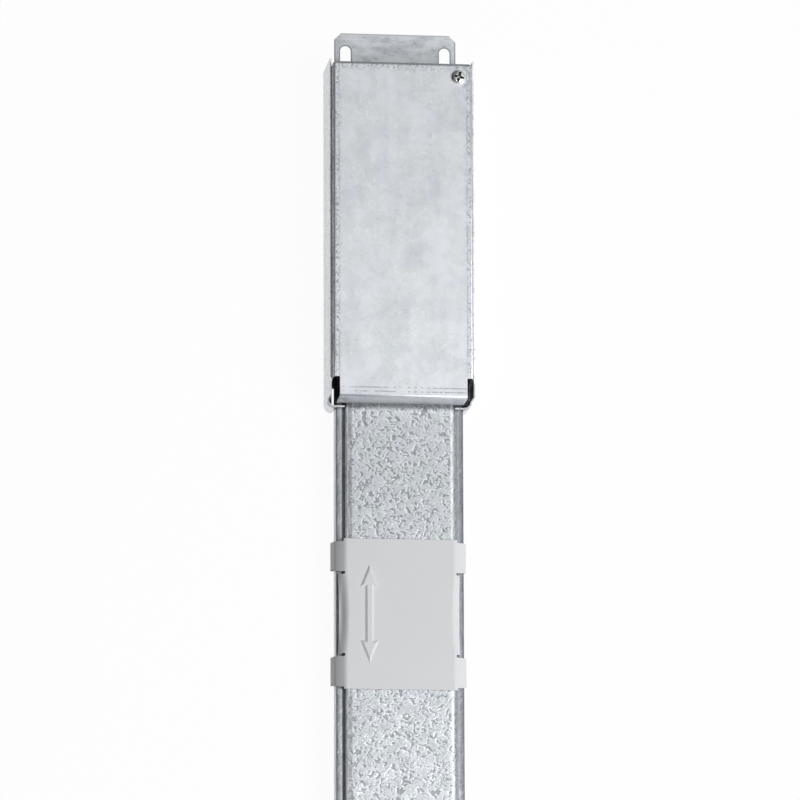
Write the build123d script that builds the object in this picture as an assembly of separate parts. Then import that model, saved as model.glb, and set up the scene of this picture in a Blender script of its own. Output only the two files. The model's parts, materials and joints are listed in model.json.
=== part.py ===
from build123d import *
import os

# Underfloor power track: a length of busbar track with a feed box at one end.
# Millimetres. X runs across the track, Y along it with the feed box at +Y, Z is up.
# The origin is under the middle of the whole length, on the floor.

# Feed box
BOX_SHEET = 1.2
LID_WIDTH = 103.0
LID_LENGTH = 250.0
BOX_HEIGHT = 50.0
LID_BEND = 0.8
LID_CORNER = 3.0
LID_SIDE_CLEARANCE = 0.3
LID_END_CLEARANCE = 1.6
SIDE_SKIRT_BOTTOM = 8.0
NEAR_SKIRT_GAP = 0.6
FAR_SKIRT_HEIGHT = 10.0
NOTCH_WIDTH = 5.0
NOTCH_LENGTH = 15.0
NOTCH_SKIRT_TOP = 28.0
SKIRT_SETBACK = 3.5
TRAY_WALL = 25.0
TRAY_SIDE_WALL = 44.0
TRAY_CORNER = 5.5
TRAY_FLOOR_BEND = 1.0
TRAY_OVERHANG = 3.0
TRAY_FIT = 0.4

# Fixing tab of the tray
TAB_WIDTH = 90.0
TAB_LENGTH = 33.0
TAB_CHAMFER = 5.0
TAB_SLOT_SPACING = 73.4
TAB_SLOT_WIDTH = 8.0
TAB_SLOT_LENGTH = 16.0
TAB_SLOT_EDGE = 9.5

# Cable entry plate and lid screw
ENTRY_SHEET = 1.5
ENTRY_CLEARANCE = 1.2
ENTRY_FOOT = 12.0
CONDUIT_HOLE = 25.5
CONDUIT_HEIGHT = 23.0
LUG_WIDTH = 20.0
LUG_DEPTH = 20.0
LUG_CORNER = 3.0
SCREW_INSET = 10.5
SCREW_SHANK = 4.6
SCREW_LENGTH = 12.0
SCREW_HEAD = 10.0
SCREW_HEAD_HEIGHT = 3.0
SCREW_HEAD_FLAT = 5.6
SCREW_HEAD_RIM = 1.2
SCREW_HEAD_SHOULDER = 2.4
SCREW_HEAD_EDGE = 0.6
SCREW_POINT = 0.7
SCREW_HOLE_PLAY = 0.4
RECESS_LENGTH = 5.6
RECESS_WIDTH = 1.3
RECESS_DEPTH = 1.8
RECESS_ANGLE = 22.0
NUT_ACROSS_FLATS = 8.0
NUT_HEIGHT = 4.0
NUT_PLAY = 0.1

# Track casing
TRACK_LENGTH = 1200.0
TRACK_WIDTH = 93.8
TRACK_HEIGHT = 26.0
TRACK_SHEET = 1.0
TRACK_BEND = 0.6
TRACK_INSERTION = 15.0
LEDGE_WIDTH = 5.9
CROWN_DROP = 4.5
CROWN_LEAN = 1.5
SKIRT_BOTTOM = 12.0
CASING_FIT = 0.1

# Outlets
OUTLET_PITCH = 300.0
FIRST_OUTLET_DISTANCE = 155.0
OUTLET_END_MARGIN = 100.0
WINDOW_LENGTH = 68.0
WINDOW_WIDTH = 50.0
WINDOW_CORNER = 4.0
INSERT_FIT = 0.2
INSERT_WALL = 1.8
INSERT_RIM = 4.0
INSERT_RIM_THICKNESS = 1.6
INSERT_FLOOR = 2.0
INSERT_RECESS = 8.0
CONTACT_SLOT_LENGTH = 14.0
CONTACT_SLOT_WIDTH = 3.4

# Conductors
BUSBAR_COUNT = 3
BUSBAR_PITCH = 15.0
BUSBAR_WIDTH = 2.0
BUSBAR_HEIGHT = 8.0
BUSBAR_PLAY = 0.1
CARRIER_BASE = 2.0
CARRIER_LINER = 1.5
CARRIER_LINER_HEIGHT = 16.0
RIB_WIDTH = 7.0
GROOVE_FLOOR = 2.0
GROOVE_MARGIN = 1.0
CONDUCTOR_SETBACK = 1.0
BUSBAR_REACH = 24.0

# Terminal block
BLOCK_GAP = 10.0
BLOCK_LENGTH = 28.0
BLOCK_HEIGHT = 24.0
BLOCK_MARGIN = 9.0
BLOCK_CHAMFER = 3.0
WELL_DIAMETER = 5.0
WELL_DEPTH = 9.0
WIRE_ENTRY = 4.0
WIRE_ENTRY_DEPTH = 12.0
TERMINAL_SCREW_HEIGHT = 4.0
TERMINAL_SCREW_PLAY = 0.2
TERMINAL_SLOT_WIDTH = 1.0
TERMINAL_SLOT_DEPTH = 1.0

# Sliding dust cover
COVER_LENGTH = 110.0
COVER_WALL = 1.8
COVER_GAP = 0.35
COVER_PLATE_OVERHANG = 0.5
SHOULDER_OVERHANG = 1.8
SHOULDER_DROP = 4.25
CLIP_OVERHANG = 2.7
CLIP_LENGTH = 24.2
CLIP_SETBACK = 1.8
CLIP_BULGE_DROP = 10.0
HOOK_GRIP = 0.7
HOOK_HEIGHT = 2.2
CLIP_WIDEST_RUN = 5.0
CLIP_ROUND = 1.9
MID_INSET = 3.1
MID_BOW = 1.2
SLIT_WIDTH = 1.8
SLIT_HOLE = 2.6
SLIT_HOLE_INSET = 5.4
ARROW_OFFSET = -22.8
ARROW_LENGTH = 73.2
ARROW_HEAD_LENGTH = 17.0
ARROW_HEAD_WIDTH = 13.7
ARROW_SHAFT_WIDTH = 6.5
ARROW_RELIEF = 1.0
ARROW_DRAFT = 55.0

# End cap
CAP_THICKNESS = 3.0
TONGUE_WIDTH = 12.0
TONGUE_HEIGHT = 4.0
TONGUE_LENGTH = 14.0
TONGUE_SPACING = 50.0
TONGUE_GAP = 0.2

# Widths that follow the track's
CROWN_WIDTH = TRACK_WIDTH - 2 * (LEDGE_WIDTH + CROWN_LEAN)
COVER_PLATE_WIDTH = CROWN_WIDTH + 2 * COVER_PLATE_OVERHANG
SHOULDER_WIDTH = TRACK_WIDTH + 2 * SHOULDER_OVERHANG
CLIP_WIDTH = TRACK_WIDTH + 2 * CLIP_OVERHANG
MID_WIDTH = TRACK_WIDTH - 2 * MID_INSET
SLIT_HOLE_SPACING = TRACK_WIDTH - 2 * SLIT_HOLE_INSET

# Places along the track
TOTAL_LENGTH = TAB_LENGTH + LID_LENGTH + TRACK_LENGTH - TRACK_INSERTION + CAP_THICKNESS
Y_TAB_END = TOTAL_LENGTH / 2
Y_BOX_FAR = Y_TAB_END - TAB_LENGTH
Y_BOX_NEAR = Y_BOX_FAR - LID_LENGTH
Y_TRACK_START = Y_BOX_NEAR + TRACK_INSERTION
Y_TRACK_END = Y_TRACK_START - TRACK_LENGTH
OUTLET_RUN = TRACK_LENGTH - TRACK_INSERTION - FIRST_OUTLET_DISTANCE - OUTLET_END_MARGIN
OUTLET_COUNT = int(OUTLET_RUN // OUTLET_PITCH) + 1
Y_FIRST_OUTLET = Y_BOX_NEAR - FIRST_OUTLET_DISTANCE
Y_OUTLETS = [Y_FIRST_OUTLET - n * OUTLET_PITCH for n in range(OUTLET_COUNT)]
BUSBAR_XS = [(n - (BUSBAR_COUNT - 1) / 2) * BUSBAR_PITCH for n in range(BUSBAR_COUNT)]

# Sizes that follow from the ones above
TRAY_WIDTH = LID_WIDTH + 2 * (LID_SIDE_CLEARANCE + BOX_SHEET)
Y_TRAY_NEAR = Y_BOX_NEAR - LID_END_CLEARANCE - BOX_SHEET
Y_TRAY_FAR = Y_BOX_FAR + TRAY_OVERHANG
LEDGE_Z = TRACK_HEIGHT - CROWN_DROP
CROWN_UNDERSIDE = TRACK_HEIGHT - TRACK_SHEET
BASE_WIDTH = TRACK_WIDTH - 2 * (TRACK_SHEET + CASING_FIT)
BASE_WALL_TOP = LEDGE_Z - TRACK_SHEET - TRACK_BEND
CARRIER_WIDTH = BASE_WIDTH - 2 * (TRACK_SHEET + CASING_FIT)
GROOVE_Z = TRACK_SHEET + CARRIER_BASE + GROOVE_FLOOR
RIB_TOP = GROOVE_Z + BUSBAR_HEIGHT + GROOVE_MARGIN
RECESS_FLOOR_Z = TRACK_HEIGHT - INSERT_RECESS
SCREW_X = LID_WIDTH / 2 - SCREW_INSET
SCREW_Y = Y_BOX_FAR - SCREW_INSET
LID_UNDERSIDE = BOX_HEIGHT - BOX_SHEET
Y_BLOCK = Y_TRACK_START + BLOCK_GAP + BLOCK_LENGTH / 2
COVER_TOP = TRACK_HEIGHT + COVER_GAP + COVER_WALL
TIE = 0.01


def along_y(section, y_from, y_to):
    """Extrude a section drawn in X and Z from one place along the track to another."""
    return extrude(Pos(0, y_to, 0) * (Plane.XZ * section), amount=y_to - y_from, dir=(0, -1, 0))


def block(x_from, x_to, y_from, y_to, z_from, z_to):
    """A box given by its six faces."""
    low = (x_from, y_from, z_from)
    return Pos(*low) * Box(
        x_to - x_from, y_to - y_from, z_to - z_from, align=(Align.MIN, Align.MIN, Align.MIN)
    )


def folded(points, thickness, bend):
    """Section of a folded sheet: the points are on its outer face, bend is the inner radius."""
    outer = FilletPolyline(*points, radius=bend + thickness)
    inner = offset(outer, amount=thickness, side=Side.RIGHT, closed=True)
    return make_face(inner.edges())


def formed(points, thickness, radius):
    """Section of a moulded wall: the points are on its outer face, whose corners are rounded."""
    outer = Polyline(*points)
    wall = offset(outer, amount=thickness, side=Side.RIGHT, closed=True, kind=Kind.INTERSECTION)
    section = make_face(wall.edges())
    tips = [Vector(*point) for point in points[1:-1]]
    corners = [
        v for v in section.vertices() if min((Vector(v.X, v.Y) - tip).length for tip in tips) < TIE
    ]
    return fillet(corners, radius)


def crown_profile():
    """Outer corners of the top cover's section, from its left skirt over the crown to the right."""
    half = TRACK_WIDTH / 2
    crown = CROWN_WIDTH / 2
    right = [
        (crown, TRACK_HEIGHT),
        (crown + CROWN_LEAN, LEDGE_Z),
        (half, LEDGE_Z),
        (half, SKIRT_BOTTOM),
    ]
    left = [(-x, z) for x, z in reversed(right)]
    return left + right


def feed_tray():
    """The tray: floor, high side walls, low near wall open for the track, and the fixing tab."""
    length = Y_TRAY_FAR - Y_TRAY_NEAR
    middle = (Y_TRAY_FAR + Y_TRAY_NEAR) / 2
    plan = Pos(0, middle) * Rectangle(TRAY_WIDTH, length)
    near = plan.vertices().filter_by(lambda v: v.Y < Y_BOX_NEAR)
    outer = extrude(fillet(near, TRAY_CORNER), amount=TRAY_WALL)
    well = Pos(0, middle + BOX_SHEET) * Rectangle(TRAY_WIDTH - 2 * BOX_SHEET, length)
    well_near = well.vertices().filter_by(lambda v: v.Y < Y_BOX_NEAR + BOX_SHEET)
    inner = extrude(fillet(well_near, TRAY_CORNER - BOX_SHEET), amount=TRAY_WALL)
    tray = outer - Pos(0, 0, BOX_SHEET) * inner
    for side in (-1, 1):
        wall_x = sorted((side * (TRAY_WIDTH / 2 - BOX_SHEET), side * TRAY_WIDTH / 2))
        tray += block(*wall_x, Y_TRAY_NEAR + TRAY_CORNER, Y_TRAY_FAR, TRAY_WALL - BOX_SHEET, TRAY_SIDE_WALL)
    low_edges = tray.edges().group_by(Axis.Z)[0]
    low_edges = [e for e in low_edges if e.center().Y < Y_TRAY_FAR - TIE]
    tray = fillet(low_edges, TRAY_FLOOR_BEND)
    tab_plan = Pos(0, Y_BOX_FAR + TAB_LENGTH / 2 - TAB_CHAMFER / 2) * Rectangle(
        TAB_WIDTH, TAB_LENGTH + TAB_CHAMFER
    )
    tab_corners = tab_plan.vertices().filter_by(lambda v: v.Y > Y_BOX_FAR)
    tray += extrude(chamfer(tab_corners, TAB_CHAMFER), amount=BOX_SHEET)
    slot_y = Y_TAB_END - TAB_SLOT_EDGE - TAB_SLOT_LENGTH / 2
    for side in (-1, 1):
        slot = SlotOverall(TAB_SLOT_LENGTH, TAB_SLOT_WIDTH, rotation=90)
        tray -= Pos(side * TAB_SLOT_SPACING / 2, slot_y) * extrude(slot, amount=2 * BOX_SHEET, both=True)
    opening = TRACK_WIDTH / 2 + TRAY_FIT
    floor_end = Y_TRACK_START + TRAY_FIT
    tray -= block(-opening, opening, Y_TRAY_NEAR - TIE, floor_end, -TIE, BOX_SHEET + TIE)
    wall_y = Y_BOX_NEAR - LID_END_CLEARANCE + TIE
    tray -= block(-opening, opening, Y_TRAY_NEAR - TIE, wall_y, -TIE, LEDGE_Z)
    outline = make_face(Polyline(*crown_profile(), close=True).edges())
    around = offset(outline, amount=TRAY_FIT, kind=Kind.INTERSECTION)
    return tray - along_y(around, Y_TRAY_NEAR - TIE, wall_y)


def cable_entry_plate():
    """Upright end plate with a foot on the tray, the conduit hole and the lug for the lid screw."""
    half = LID_WIDTH / 2 - BOX_SHEET - ENTRY_CLEARANCE
    y_out = Y_BOX_FAR - BOX_SHEET - ENTRY_CLEARANCE
    y_in = y_out - ENTRY_SHEET
    plate = block(-half, half, y_in, y_out, BOX_SHEET, LID_UNDERSIDE)
    foot = TAB_WIDTH / 2
    plate += block(-foot, foot, y_in - ENTRY_FOOT, y_in, BOX_SHEET, BOX_SHEET + ENTRY_SHEET)
    lug_end = y_in - LUG_DEPTH
    lug = block(
        half - LUG_WIDTH, half, lug_end, y_in, LID_UNDERSIDE - ENTRY_SHEET, LID_UNDERSIDE
    )
    corners = lug.edges().filter_by(Axis.Z).filter_by(lambda e: e.center().Y < y_in - TIE)
    plate += fillet(corners, LUG_CORNER)
    hole = Cylinder(CONDUIT_HOLE / 2, 4 * ENTRY_SHEET, rotation=(90, 0, 0))
    plate -= Pos(0, y_out, CONDUIT_HEIGHT) * hole
    screw_hole = Cylinder(SCREW_SHANK / 2 + SCREW_HOLE_PLAY, 4 * ENTRY_SHEET)
    return plate - Pos(SCREW_X, SCREW_Y, LID_UNDERSIDE) * screw_hole


def clinch_nut():
    """Hexagon nut pressed against the lug's underside."""
    hexagon = RegularPolygon(NUT_ACROSS_FLATS / 2, 6, major_radius=False)
    section = hexagon - Circle(SCREW_SHANK / 2 + NUT_PLAY)
    top = LID_UNDERSIDE - ENTRY_SHEET
    return Pos(SCREW_X, SCREW_Y, top) * extrude(section, amount=-NUT_HEIGHT)


def lid_block(inset):
    """Solid of the lid's outside, or of its inside when inset by the sheet."""
    far = Y_BOX_FAR - inset
    near = Y_BOX_NEAR + inset
    plan = Pos(0, (far + near) / 2) * Rectangle(LID_WIDTH - 2 * inset, far - near)
    corners = plan.vertices().filter_by(lambda v: v.Y > Y_TRACK_START)
    plan = fillet(corners, LID_CORNER - inset)
    top = BOX_HEIGHT - inset
    body = Pos(0, 0, SIDE_SKIRT_BOTTOM - inset) * extrude(plan, amount=top - SIDE_SKIRT_BOTTOM + inset)
    return fillet(body.edges().group_by(Axis.Z)[-1], LID_BEND + BOX_SHEET - inset)


def lid():
    """The lid: side skirts inside the tray, an end skirt over the track, two notched corners."""
    cover = lid_block(0) - lid_block(BOX_SHEET)
    half = LID_WIDTH / 2
    near_half = half - NOTCH_WIDTH
    far_half = half - LID_CORNER
    y_skirt = Y_BOX_NEAR + BOX_SHEET + LID_BEND
    cover -= block(-half, half, Y_BOX_NEAR - TIE, y_skirt, 0, TRACK_HEIGHT + NEAR_SKIRT_GAP)
    y_far = Y_BOX_FAR - BOX_SHEET - TIE
    far_bottom = BOX_HEIGHT - FAR_SKIRT_HEIGHT
    cover -= block(-far_half, far_half, y_far, Y_BOX_FAR + TIE, 0, far_bottom)
    for side in (-1, 1):
        x_in, x_out = sorted((side * near_half, side * (half + TIE)))
        y_notch = Y_BOX_NEAR + NOTCH_LENGTH
        cover -= block(x_in, x_out, Y_BOX_NEAR - TIE, y_notch, NOTCH_SKIRT_TOP, BOX_HEIGHT + TIE)
        cover -= block(x_in, x_out, Y_BOX_NEAR - TIE, Y_BOX_NEAR + SKIRT_SETBACK, 0, BOX_HEIGHT)
    hole = Cylinder(SCREW_SHANK / 2 + SCREW_HOLE_PLAY, 4 * BOX_SHEET)
    return cover - Pos(SCREW_X, SCREW_Y, BOX_HEIGHT) * hole


def lid_screw():
    """Pan head screw with a cross recess."""
    shank = SCREW_SHANK / 2
    profile = Polyline(
        (0, SCREW_HEAD_HEIGHT),
        (0, -SCREW_LENGTH),
        (shank - SCREW_POINT, -SCREW_LENGTH),
        (shank, -SCREW_LENGTH + SCREW_POINT),
        (shank, 0),
        (SCREW_HEAD / 2, 0),
        (SCREW_HEAD / 2, SCREW_HEAD_RIM),
        (SCREW_HEAD / 2 - SCREW_HEAD_EDGE, SCREW_HEAD_SHOULDER),
        (SCREW_HEAD_FLAT / 2, SCREW_HEAD_HEIGHT),
        close=True,
    )
    section = Plane.XZ * make_face(profile.edges())
    screw = revolve(section, Axis.Z)
    low = SCREW_HEAD_HEIGHT - RECESS_DEPTH
    wing = Pos(0, 0, low + RECESS_DEPTH) * Box(RECESS_LENGTH, RECESS_WIDTH, 2 * RECESS_DEPTH)
    cross = wing + Rot(0, 0, 90) * wing
    return Pos(SCREW_X, SCREW_Y, BOX_HEIGHT) * Rot(0, 0, RECESS_ANGLE) * (screw - cross)


def terminal_block():
    """Moulded block that the busbars enter from the track and the supply wires from the box."""
    width = (BUSBAR_COUNT - 1) * BUSBAR_PITCH + 2 * BLOCK_MARGIN + BUSBAR_WIDTH
    body = Pos(0, Y_BLOCK, BOX_SHEET) * Box(
        width, BLOCK_LENGTH, BLOCK_HEIGHT, align=(Align.CENTER, Align.CENTER, Align.MIN)
    )
    top = body.edges().group_by(Axis.Z)[-1].filter_by(Axis.X)
    body = chamfer(top, BLOCK_CHAMFER)
    slot = Box(
        BUSBAR_WIDTH + 2 * BUSBAR_PLAY,
        2 * (BUSBAR_REACH - BLOCK_GAP + BUSBAR_PLAY),
        BUSBAR_HEIGHT + 2 * BUSBAR_PLAY,
    )
    well = Cylinder(WELL_DIAMETER / 2, 2 * WELL_DEPTH)
    entry = Box(WIRE_ENTRY, 2 * WIRE_ENTRY_DEPTH, WIRE_ENTRY)
    for x in BUSBAR_XS:
        body -= Pos(x, Y_BLOCK - BLOCK_LENGTH / 2, GROOVE_Z + BUSBAR_HEIGHT / 2) * slot
        body -= Pos(x, Y_BLOCK, BOX_SHEET + BLOCK_HEIGHT) * well
        body -= Pos(x, Y_BLOCK + BLOCK_LENGTH / 2, GROOVE_Z + BUSBAR_HEIGHT / 2) * entry
    return body


def terminal_screws():
    """One slotted screw at the bottom of each well."""
    floor = BOX_SHEET + BLOCK_HEIGHT - WELL_DEPTH
    radius = WELL_DIAMETER / 2 - TERMINAL_SCREW_PLAY
    screw = Cylinder(
        radius, TERMINAL_SCREW_HEIGHT, align=(Align.CENTER, Align.CENTER, Align.MIN)
    )
    slot = Box(WELL_DIAMETER, TERMINAL_SLOT_WIDTH, 2 * TERMINAL_SLOT_DEPTH)
    screw -= Pos(0, 0, TERMINAL_SCREW_HEIGHT) * slot
    return Compound([Pos(x, Y_BLOCK, floor) * screw for x in BUSBAR_XS])


def track_base_channel():
    """Folded channel that lies on the floor."""
    half = BASE_WIDTH / 2
    section = folded(
        [(half, BASE_WALL_TOP), (half, 0), (-half, 0), (-half, BASE_WALL_TOP)],
        TRACK_SHEET,
        TRACK_BEND,
    )
    return along_y(section, Y_TRACK_END, Y_TRACK_START)


def track_top_cover():
    """Folded cover with a raised crown, its skirts over the base, and a window at each outlet."""
    section = folded(crown_profile(), TRACK_SHEET, TRACK_BEND)
    cover = along_y(section, Y_TRACK_END, Y_TRACK_START)
    window = RectangleRounded(WINDOW_WIDTH, WINDOW_LENGTH, WINDOW_CORNER)
    for y in Y_OUTLETS:
        cover -= Pos(0, y, TRACK_HEIGHT) * extrude(window, amount=2 * TRACK_SHEET, both=True)
    return cover


def conductor_carrier():
    """Plastic extrusion in the base channel, with a grooved rib for each busbar."""
    half = CARRIER_WIDTH / 2
    low = TRACK_SHEET
    groove = BUSBAR_WIDTH + 2 * BUSBAR_PLAY
    section = Pos(0, low + CARRIER_BASE / 2) * Rectangle(CARRIER_WIDTH, CARRIER_BASE)
    section = chamfer(section.vertices().group_by(Axis.Y)[0], TRACK_BEND + TIE)
    for side in (-1, 1):
        x = side * (half - CARRIER_LINER / 2)
        z = low + CARRIER_BASE
        liner = Rectangle(CARRIER_LINER, CARRIER_LINER_HEIGHT, align=(Align.CENTER, Align.MIN))
        section += Pos(x, z) * liner
    for x in BUSBAR_XS:
        rib = Rectangle(RIB_WIDTH, RIB_TOP - low, align=(Align.CENTER, Align.MIN))
        section += Pos(x, low) * rib
        slot = Rectangle(groove, RIB_TOP - GROOVE_Z + TIE, align=(Align.CENTER, Align.MIN))
        section -= Pos(x, GROOVE_Z) * slot
    return along_y(section, Y_TRACK_END + CONDUCTOR_SETBACK, Y_TRACK_START)


def busbar(x):
    """One conductor standing in its groove and reaching into the terminal block."""
    return block(
        x - BUSBAR_WIDTH / 2,
        x + BUSBAR_WIDTH / 2,
        Y_TRACK_END + CONDUCTOR_SETBACK,
        Y_TRACK_START + BUSBAR_REACH,
        GROOVE_Z,
        GROOVE_Z + BUSBAR_HEIGHT,
    )


def outlet_insert(y):
    """Moulded socket under a window: a rim under the crown, a recess and contact slots."""
    width = WINDOW_WIDTH - 2 * INSERT_FIT
    length = WINDOW_LENGTH - 2 * INSERT_FIT
    corner = WINDOW_CORNER - INSERT_FIT
    body = Pos(0, 0, RIB_TOP) * extrude(
        RectangleRounded(width, length, corner), amount=TRACK_HEIGHT - RIB_TOP
    )
    rim = Rectangle(width + 2 * INSERT_RIM, length + 2 * INSERT_RIM)
    body += Pos(0, 0, CROWN_UNDERSIDE - INSERT_RIM_THICKNESS) * extrude(
        chamfer(rim.vertices(), INSERT_RIM), amount=INSERT_RIM_THICKNESS
    )
    hollow = Rectangle(width - 2 * INSERT_WALL, length - 2 * INSERT_WALL)
    hollow = chamfer(hollow.vertices(), corner - INSERT_WALL)
    body -= Pos(0, 0, RECESS_FLOOR_Z) * extrude(hollow, amount=INSERT_RECESS + TIE)
    under = RECESS_FLOOR_Z - INSERT_FLOOR - RIB_TOP
    foot = Rectangle(width - 2 * corner, length - 2 * corner)
    body -= Pos(0, 0, RIB_TOP) * extrude(foot, amount=under)
    for x in BUSBAR_XS:
        for end in (-1, 1):
            place = Pos(x, end * length / 4, RECESS_FLOOR_Z - INSERT_FLOOR / 2)
            body -= place * Box(CONTACT_SLOT_WIDTH, CONTACT_SLOT_LENGTH, 2 * INSERT_FLOOR)
    return Pos(0, y, 0) * body


def clip_section():
    """Section of the dust cover through its clips: plate, shoulders, bulge and hooks."""
    top = COVER_TOP
    half = TRACK_WIDTH / 2
    clip = CLIP_WIDTH / 2
    hook_top = SKIRT_BOTTOM - COVER_GAP
    hook_tip = half - HOOK_GRIP
    bulge_z = top - CLIP_BULGE_DROP
    right = [
        (COVER_PLATE_WIDTH / 2, top),
        (SHOULDER_WIDTH / 2, top - SHOULDER_DROP),
        (clip, bulge_z),
        (clip, bulge_z - CLIP_WIDEST_RUN),
        (half + COVER_GAP + COVER_WALL, hook_top - HOOK_HEIGHT),
    ]
    left = [(-x, z) for x, z in reversed(right)]
    section = formed(left + right, COVER_WALL, CLIP_ROUND)
    for side in (-1, 1):
        hook = Polygon(
            (side * hook_tip, hook_top),
            (side * (half + COVER_GAP + COVER_WALL / 2), hook_top),
            (side * (half + COVER_GAP + COVER_WALL), hook_top - HOOK_HEIGHT),
            (side * (half + COVER_GAP), hook_top - HOOK_HEIGHT),
            align=None,
        )
        section += hook
    return section


def cover_arrow():
    """Raised arrow with a head at both ends, along the cover."""
    tip = ARROW_LENGTH / 2
    neck = tip - ARROW_HEAD_LENGTH
    head = ARROW_HEAD_WIDTH / 2
    shaft = ARROW_SHAFT_WIDTH / 2
    quarter = [(0, tip), (head, neck), (shaft, neck)]
    right = quarter + [(x, -y) for x, y in reversed(quarter)]
    left = [(-x, y) for x, y in reversed(right[1:-1])]
    outline = Polygon(*right, *left, align=None)
    raised = extrude(outline, amount=ARROW_RELIEF, taper=ARROW_DRAFT)
    return Pos(ARROW_OFFSET, 0, COVER_TOP) * raised


def dust_cover(y):
    """Moulded cover held on the track by sprung clips at its two ends, free to slide along it."""
    cover = along_y(clip_section(), -COVER_LENGTH / 2, COVER_LENGTH / 2)
    mid = COVER_LENGTH / 2 - CLIP_LENGTH
    for side in (-1, 1):
        end_x = side * MID_WIDTH / 2
        waist = ThreePointArc((end_x, -mid), (end_x - side * MID_BOW, 0), (end_x, mid))
        beyond = Polyline((end_x, mid), (side * CLIP_WIDTH, mid), (side * CLIP_WIDTH, -mid), (end_x, -mid))
        cover -= extrude(make_face(waist.edges() + beyond.edges()), amount=COVER_TOP)
        ledge_x = sorted((side * (COVER_PLATE_WIDTH / 2 + SHOULDER_OVERHANG), side * CLIP_WIDTH))
        for end in (-1, 1):
            hole_x = side * SLIT_HOLE_SPACING / 2
            slit_x = sorted((hole_x, side * CLIP_WIDTH))
            slit_y = sorted((end * mid, end * (mid - SLIT_WIDTH)))
            cover -= block(*slit_x, *slit_y, 0, COVER_TOP)
            end_y = end * COVER_LENGTH / 2
            ledge_y = sorted((end_y + end * TIE, end_y - end * CLIP_SETBACK))
            cover -= block(*ledge_x, *ledge_y, 0, COVER_TOP)
            place = Pos(hole_x, end * (mid - SLIT_WIDTH / 2), COVER_TOP)
            cover -= place * Cylinder(SLIT_HOLE / 2, 4 * COVER_WALL)
    return Pos(0, y, 0) * (cover + cover_arrow())


def end_cap():
    """Moulded cap: a plate of the track's outline with two tongues under the crown."""
    half = TRACK_WIDTH / 2
    outline = [(half, 0)] + [(x, z) for x, z in reversed(crown_profile()) if z > SKIRT_BOTTOM]
    outline += [(-half, 0)]
    section = make_face(Polyline(*outline, close=True).edges())
    section = fillet(section.vertices(), TRACK_BEND)
    cap = along_y(section, Y_TRACK_END - CAP_THICKNESS, Y_TRACK_END)
    tongue_z = CROWN_UNDERSIDE - TONGUE_GAP - TONGUE_HEIGHT
    for side in (-1, 1):
        x = side * TONGUE_SPACING / 2
        cap += block(
            x - TONGUE_WIDTH / 2,
            x + TONGUE_WIDTH / 2,
            Y_TRACK_END,
            Y_TRACK_END + TONGUE_LENGTH,
            tongue_z,
            tongue_z + TONGUE_HEIGHT,
        )
    return cap


def main():
    """Build every piece and write one file for each."""
    pieces = {
        "feed_tray": feed_tray(),
        "cable_entry_plate": cable_entry_plate(),
        "clinch_nut": clinch_nut(),
        "lid": lid(),
        "lid_screw": lid_screw(),
        "terminal_block": terminal_block(),
        "terminal_screws": terminal_screws(),
        "track_base_channel": track_base_channel(),
        "track_top_cover": track_top_cover(),
        "conductor_carrier": conductor_carrier(),
        "end_cap": end_cap(),
    }
    for number, x in enumerate(BUSBAR_XS, 1):
        pieces[f"busbar_{number}"] = busbar(x)
    for number, y in enumerate(Y_OUTLETS, 1):
        pieces[f"outlet_insert_{number}"] = outlet_insert(y)
        pieces[f"dust_cover_{number}"] = dust_cover(y)
    os.makedirs("parts", exist_ok=True)
    for name, piece in pieces.items():
        export_step(piece, f"parts/{name}.step")


main()
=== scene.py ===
"""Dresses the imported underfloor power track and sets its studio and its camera.

The track lies along Y with its feed box at +Y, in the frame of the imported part. Sizes and places in the classes are in
millimetres, apart from the studio's, which are in metres.
"""

from __future__ import annotations

import json
import logging
import math
from dataclasses import dataclass, replace
from enum import Enum
from typing import Any, Callable, Dict, List, Optional, Sequence, Tuple, Union

import bmesh
import bpy
from mathutils import Euler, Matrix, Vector

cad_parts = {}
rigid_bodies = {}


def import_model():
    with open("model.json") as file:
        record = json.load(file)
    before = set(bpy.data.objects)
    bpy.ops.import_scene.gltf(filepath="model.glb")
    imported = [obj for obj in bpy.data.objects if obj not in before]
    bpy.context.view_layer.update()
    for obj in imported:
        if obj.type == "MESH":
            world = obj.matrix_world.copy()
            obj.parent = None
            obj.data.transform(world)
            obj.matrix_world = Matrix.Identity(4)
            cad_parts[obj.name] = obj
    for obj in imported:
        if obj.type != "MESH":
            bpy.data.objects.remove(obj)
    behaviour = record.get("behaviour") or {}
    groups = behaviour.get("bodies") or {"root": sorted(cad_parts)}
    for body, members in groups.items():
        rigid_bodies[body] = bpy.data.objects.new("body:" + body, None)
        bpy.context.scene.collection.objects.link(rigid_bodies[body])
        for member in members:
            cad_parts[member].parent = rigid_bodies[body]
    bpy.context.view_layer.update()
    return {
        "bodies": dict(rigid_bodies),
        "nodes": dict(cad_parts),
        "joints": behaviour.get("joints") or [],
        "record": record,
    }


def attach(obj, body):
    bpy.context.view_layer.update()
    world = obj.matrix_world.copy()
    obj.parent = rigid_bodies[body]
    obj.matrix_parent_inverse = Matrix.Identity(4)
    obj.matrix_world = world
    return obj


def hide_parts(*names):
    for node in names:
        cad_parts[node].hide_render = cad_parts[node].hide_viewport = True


LOG = logging.getLogger("power_track")
MM = 0.001
SHORTEST_EDGE = 0.001
BEVEL_SAMPLES = 6
OUTLET_MIDDLES = (297.5, -2.5, -302.5, -602.5)

Colour = Tuple[float, float, float]
Point = Tuple[float, float, float]
Flat = Tuple[float, float]
Socket = bpy.types.NodeSocket
Value = Union[float, int, Tuple[float, ...], Socket]

WHITE: Colour = (1.0, 1.0, 1.0)
EVEN: Point = (1.0, 1.0, 1.0)


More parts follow.
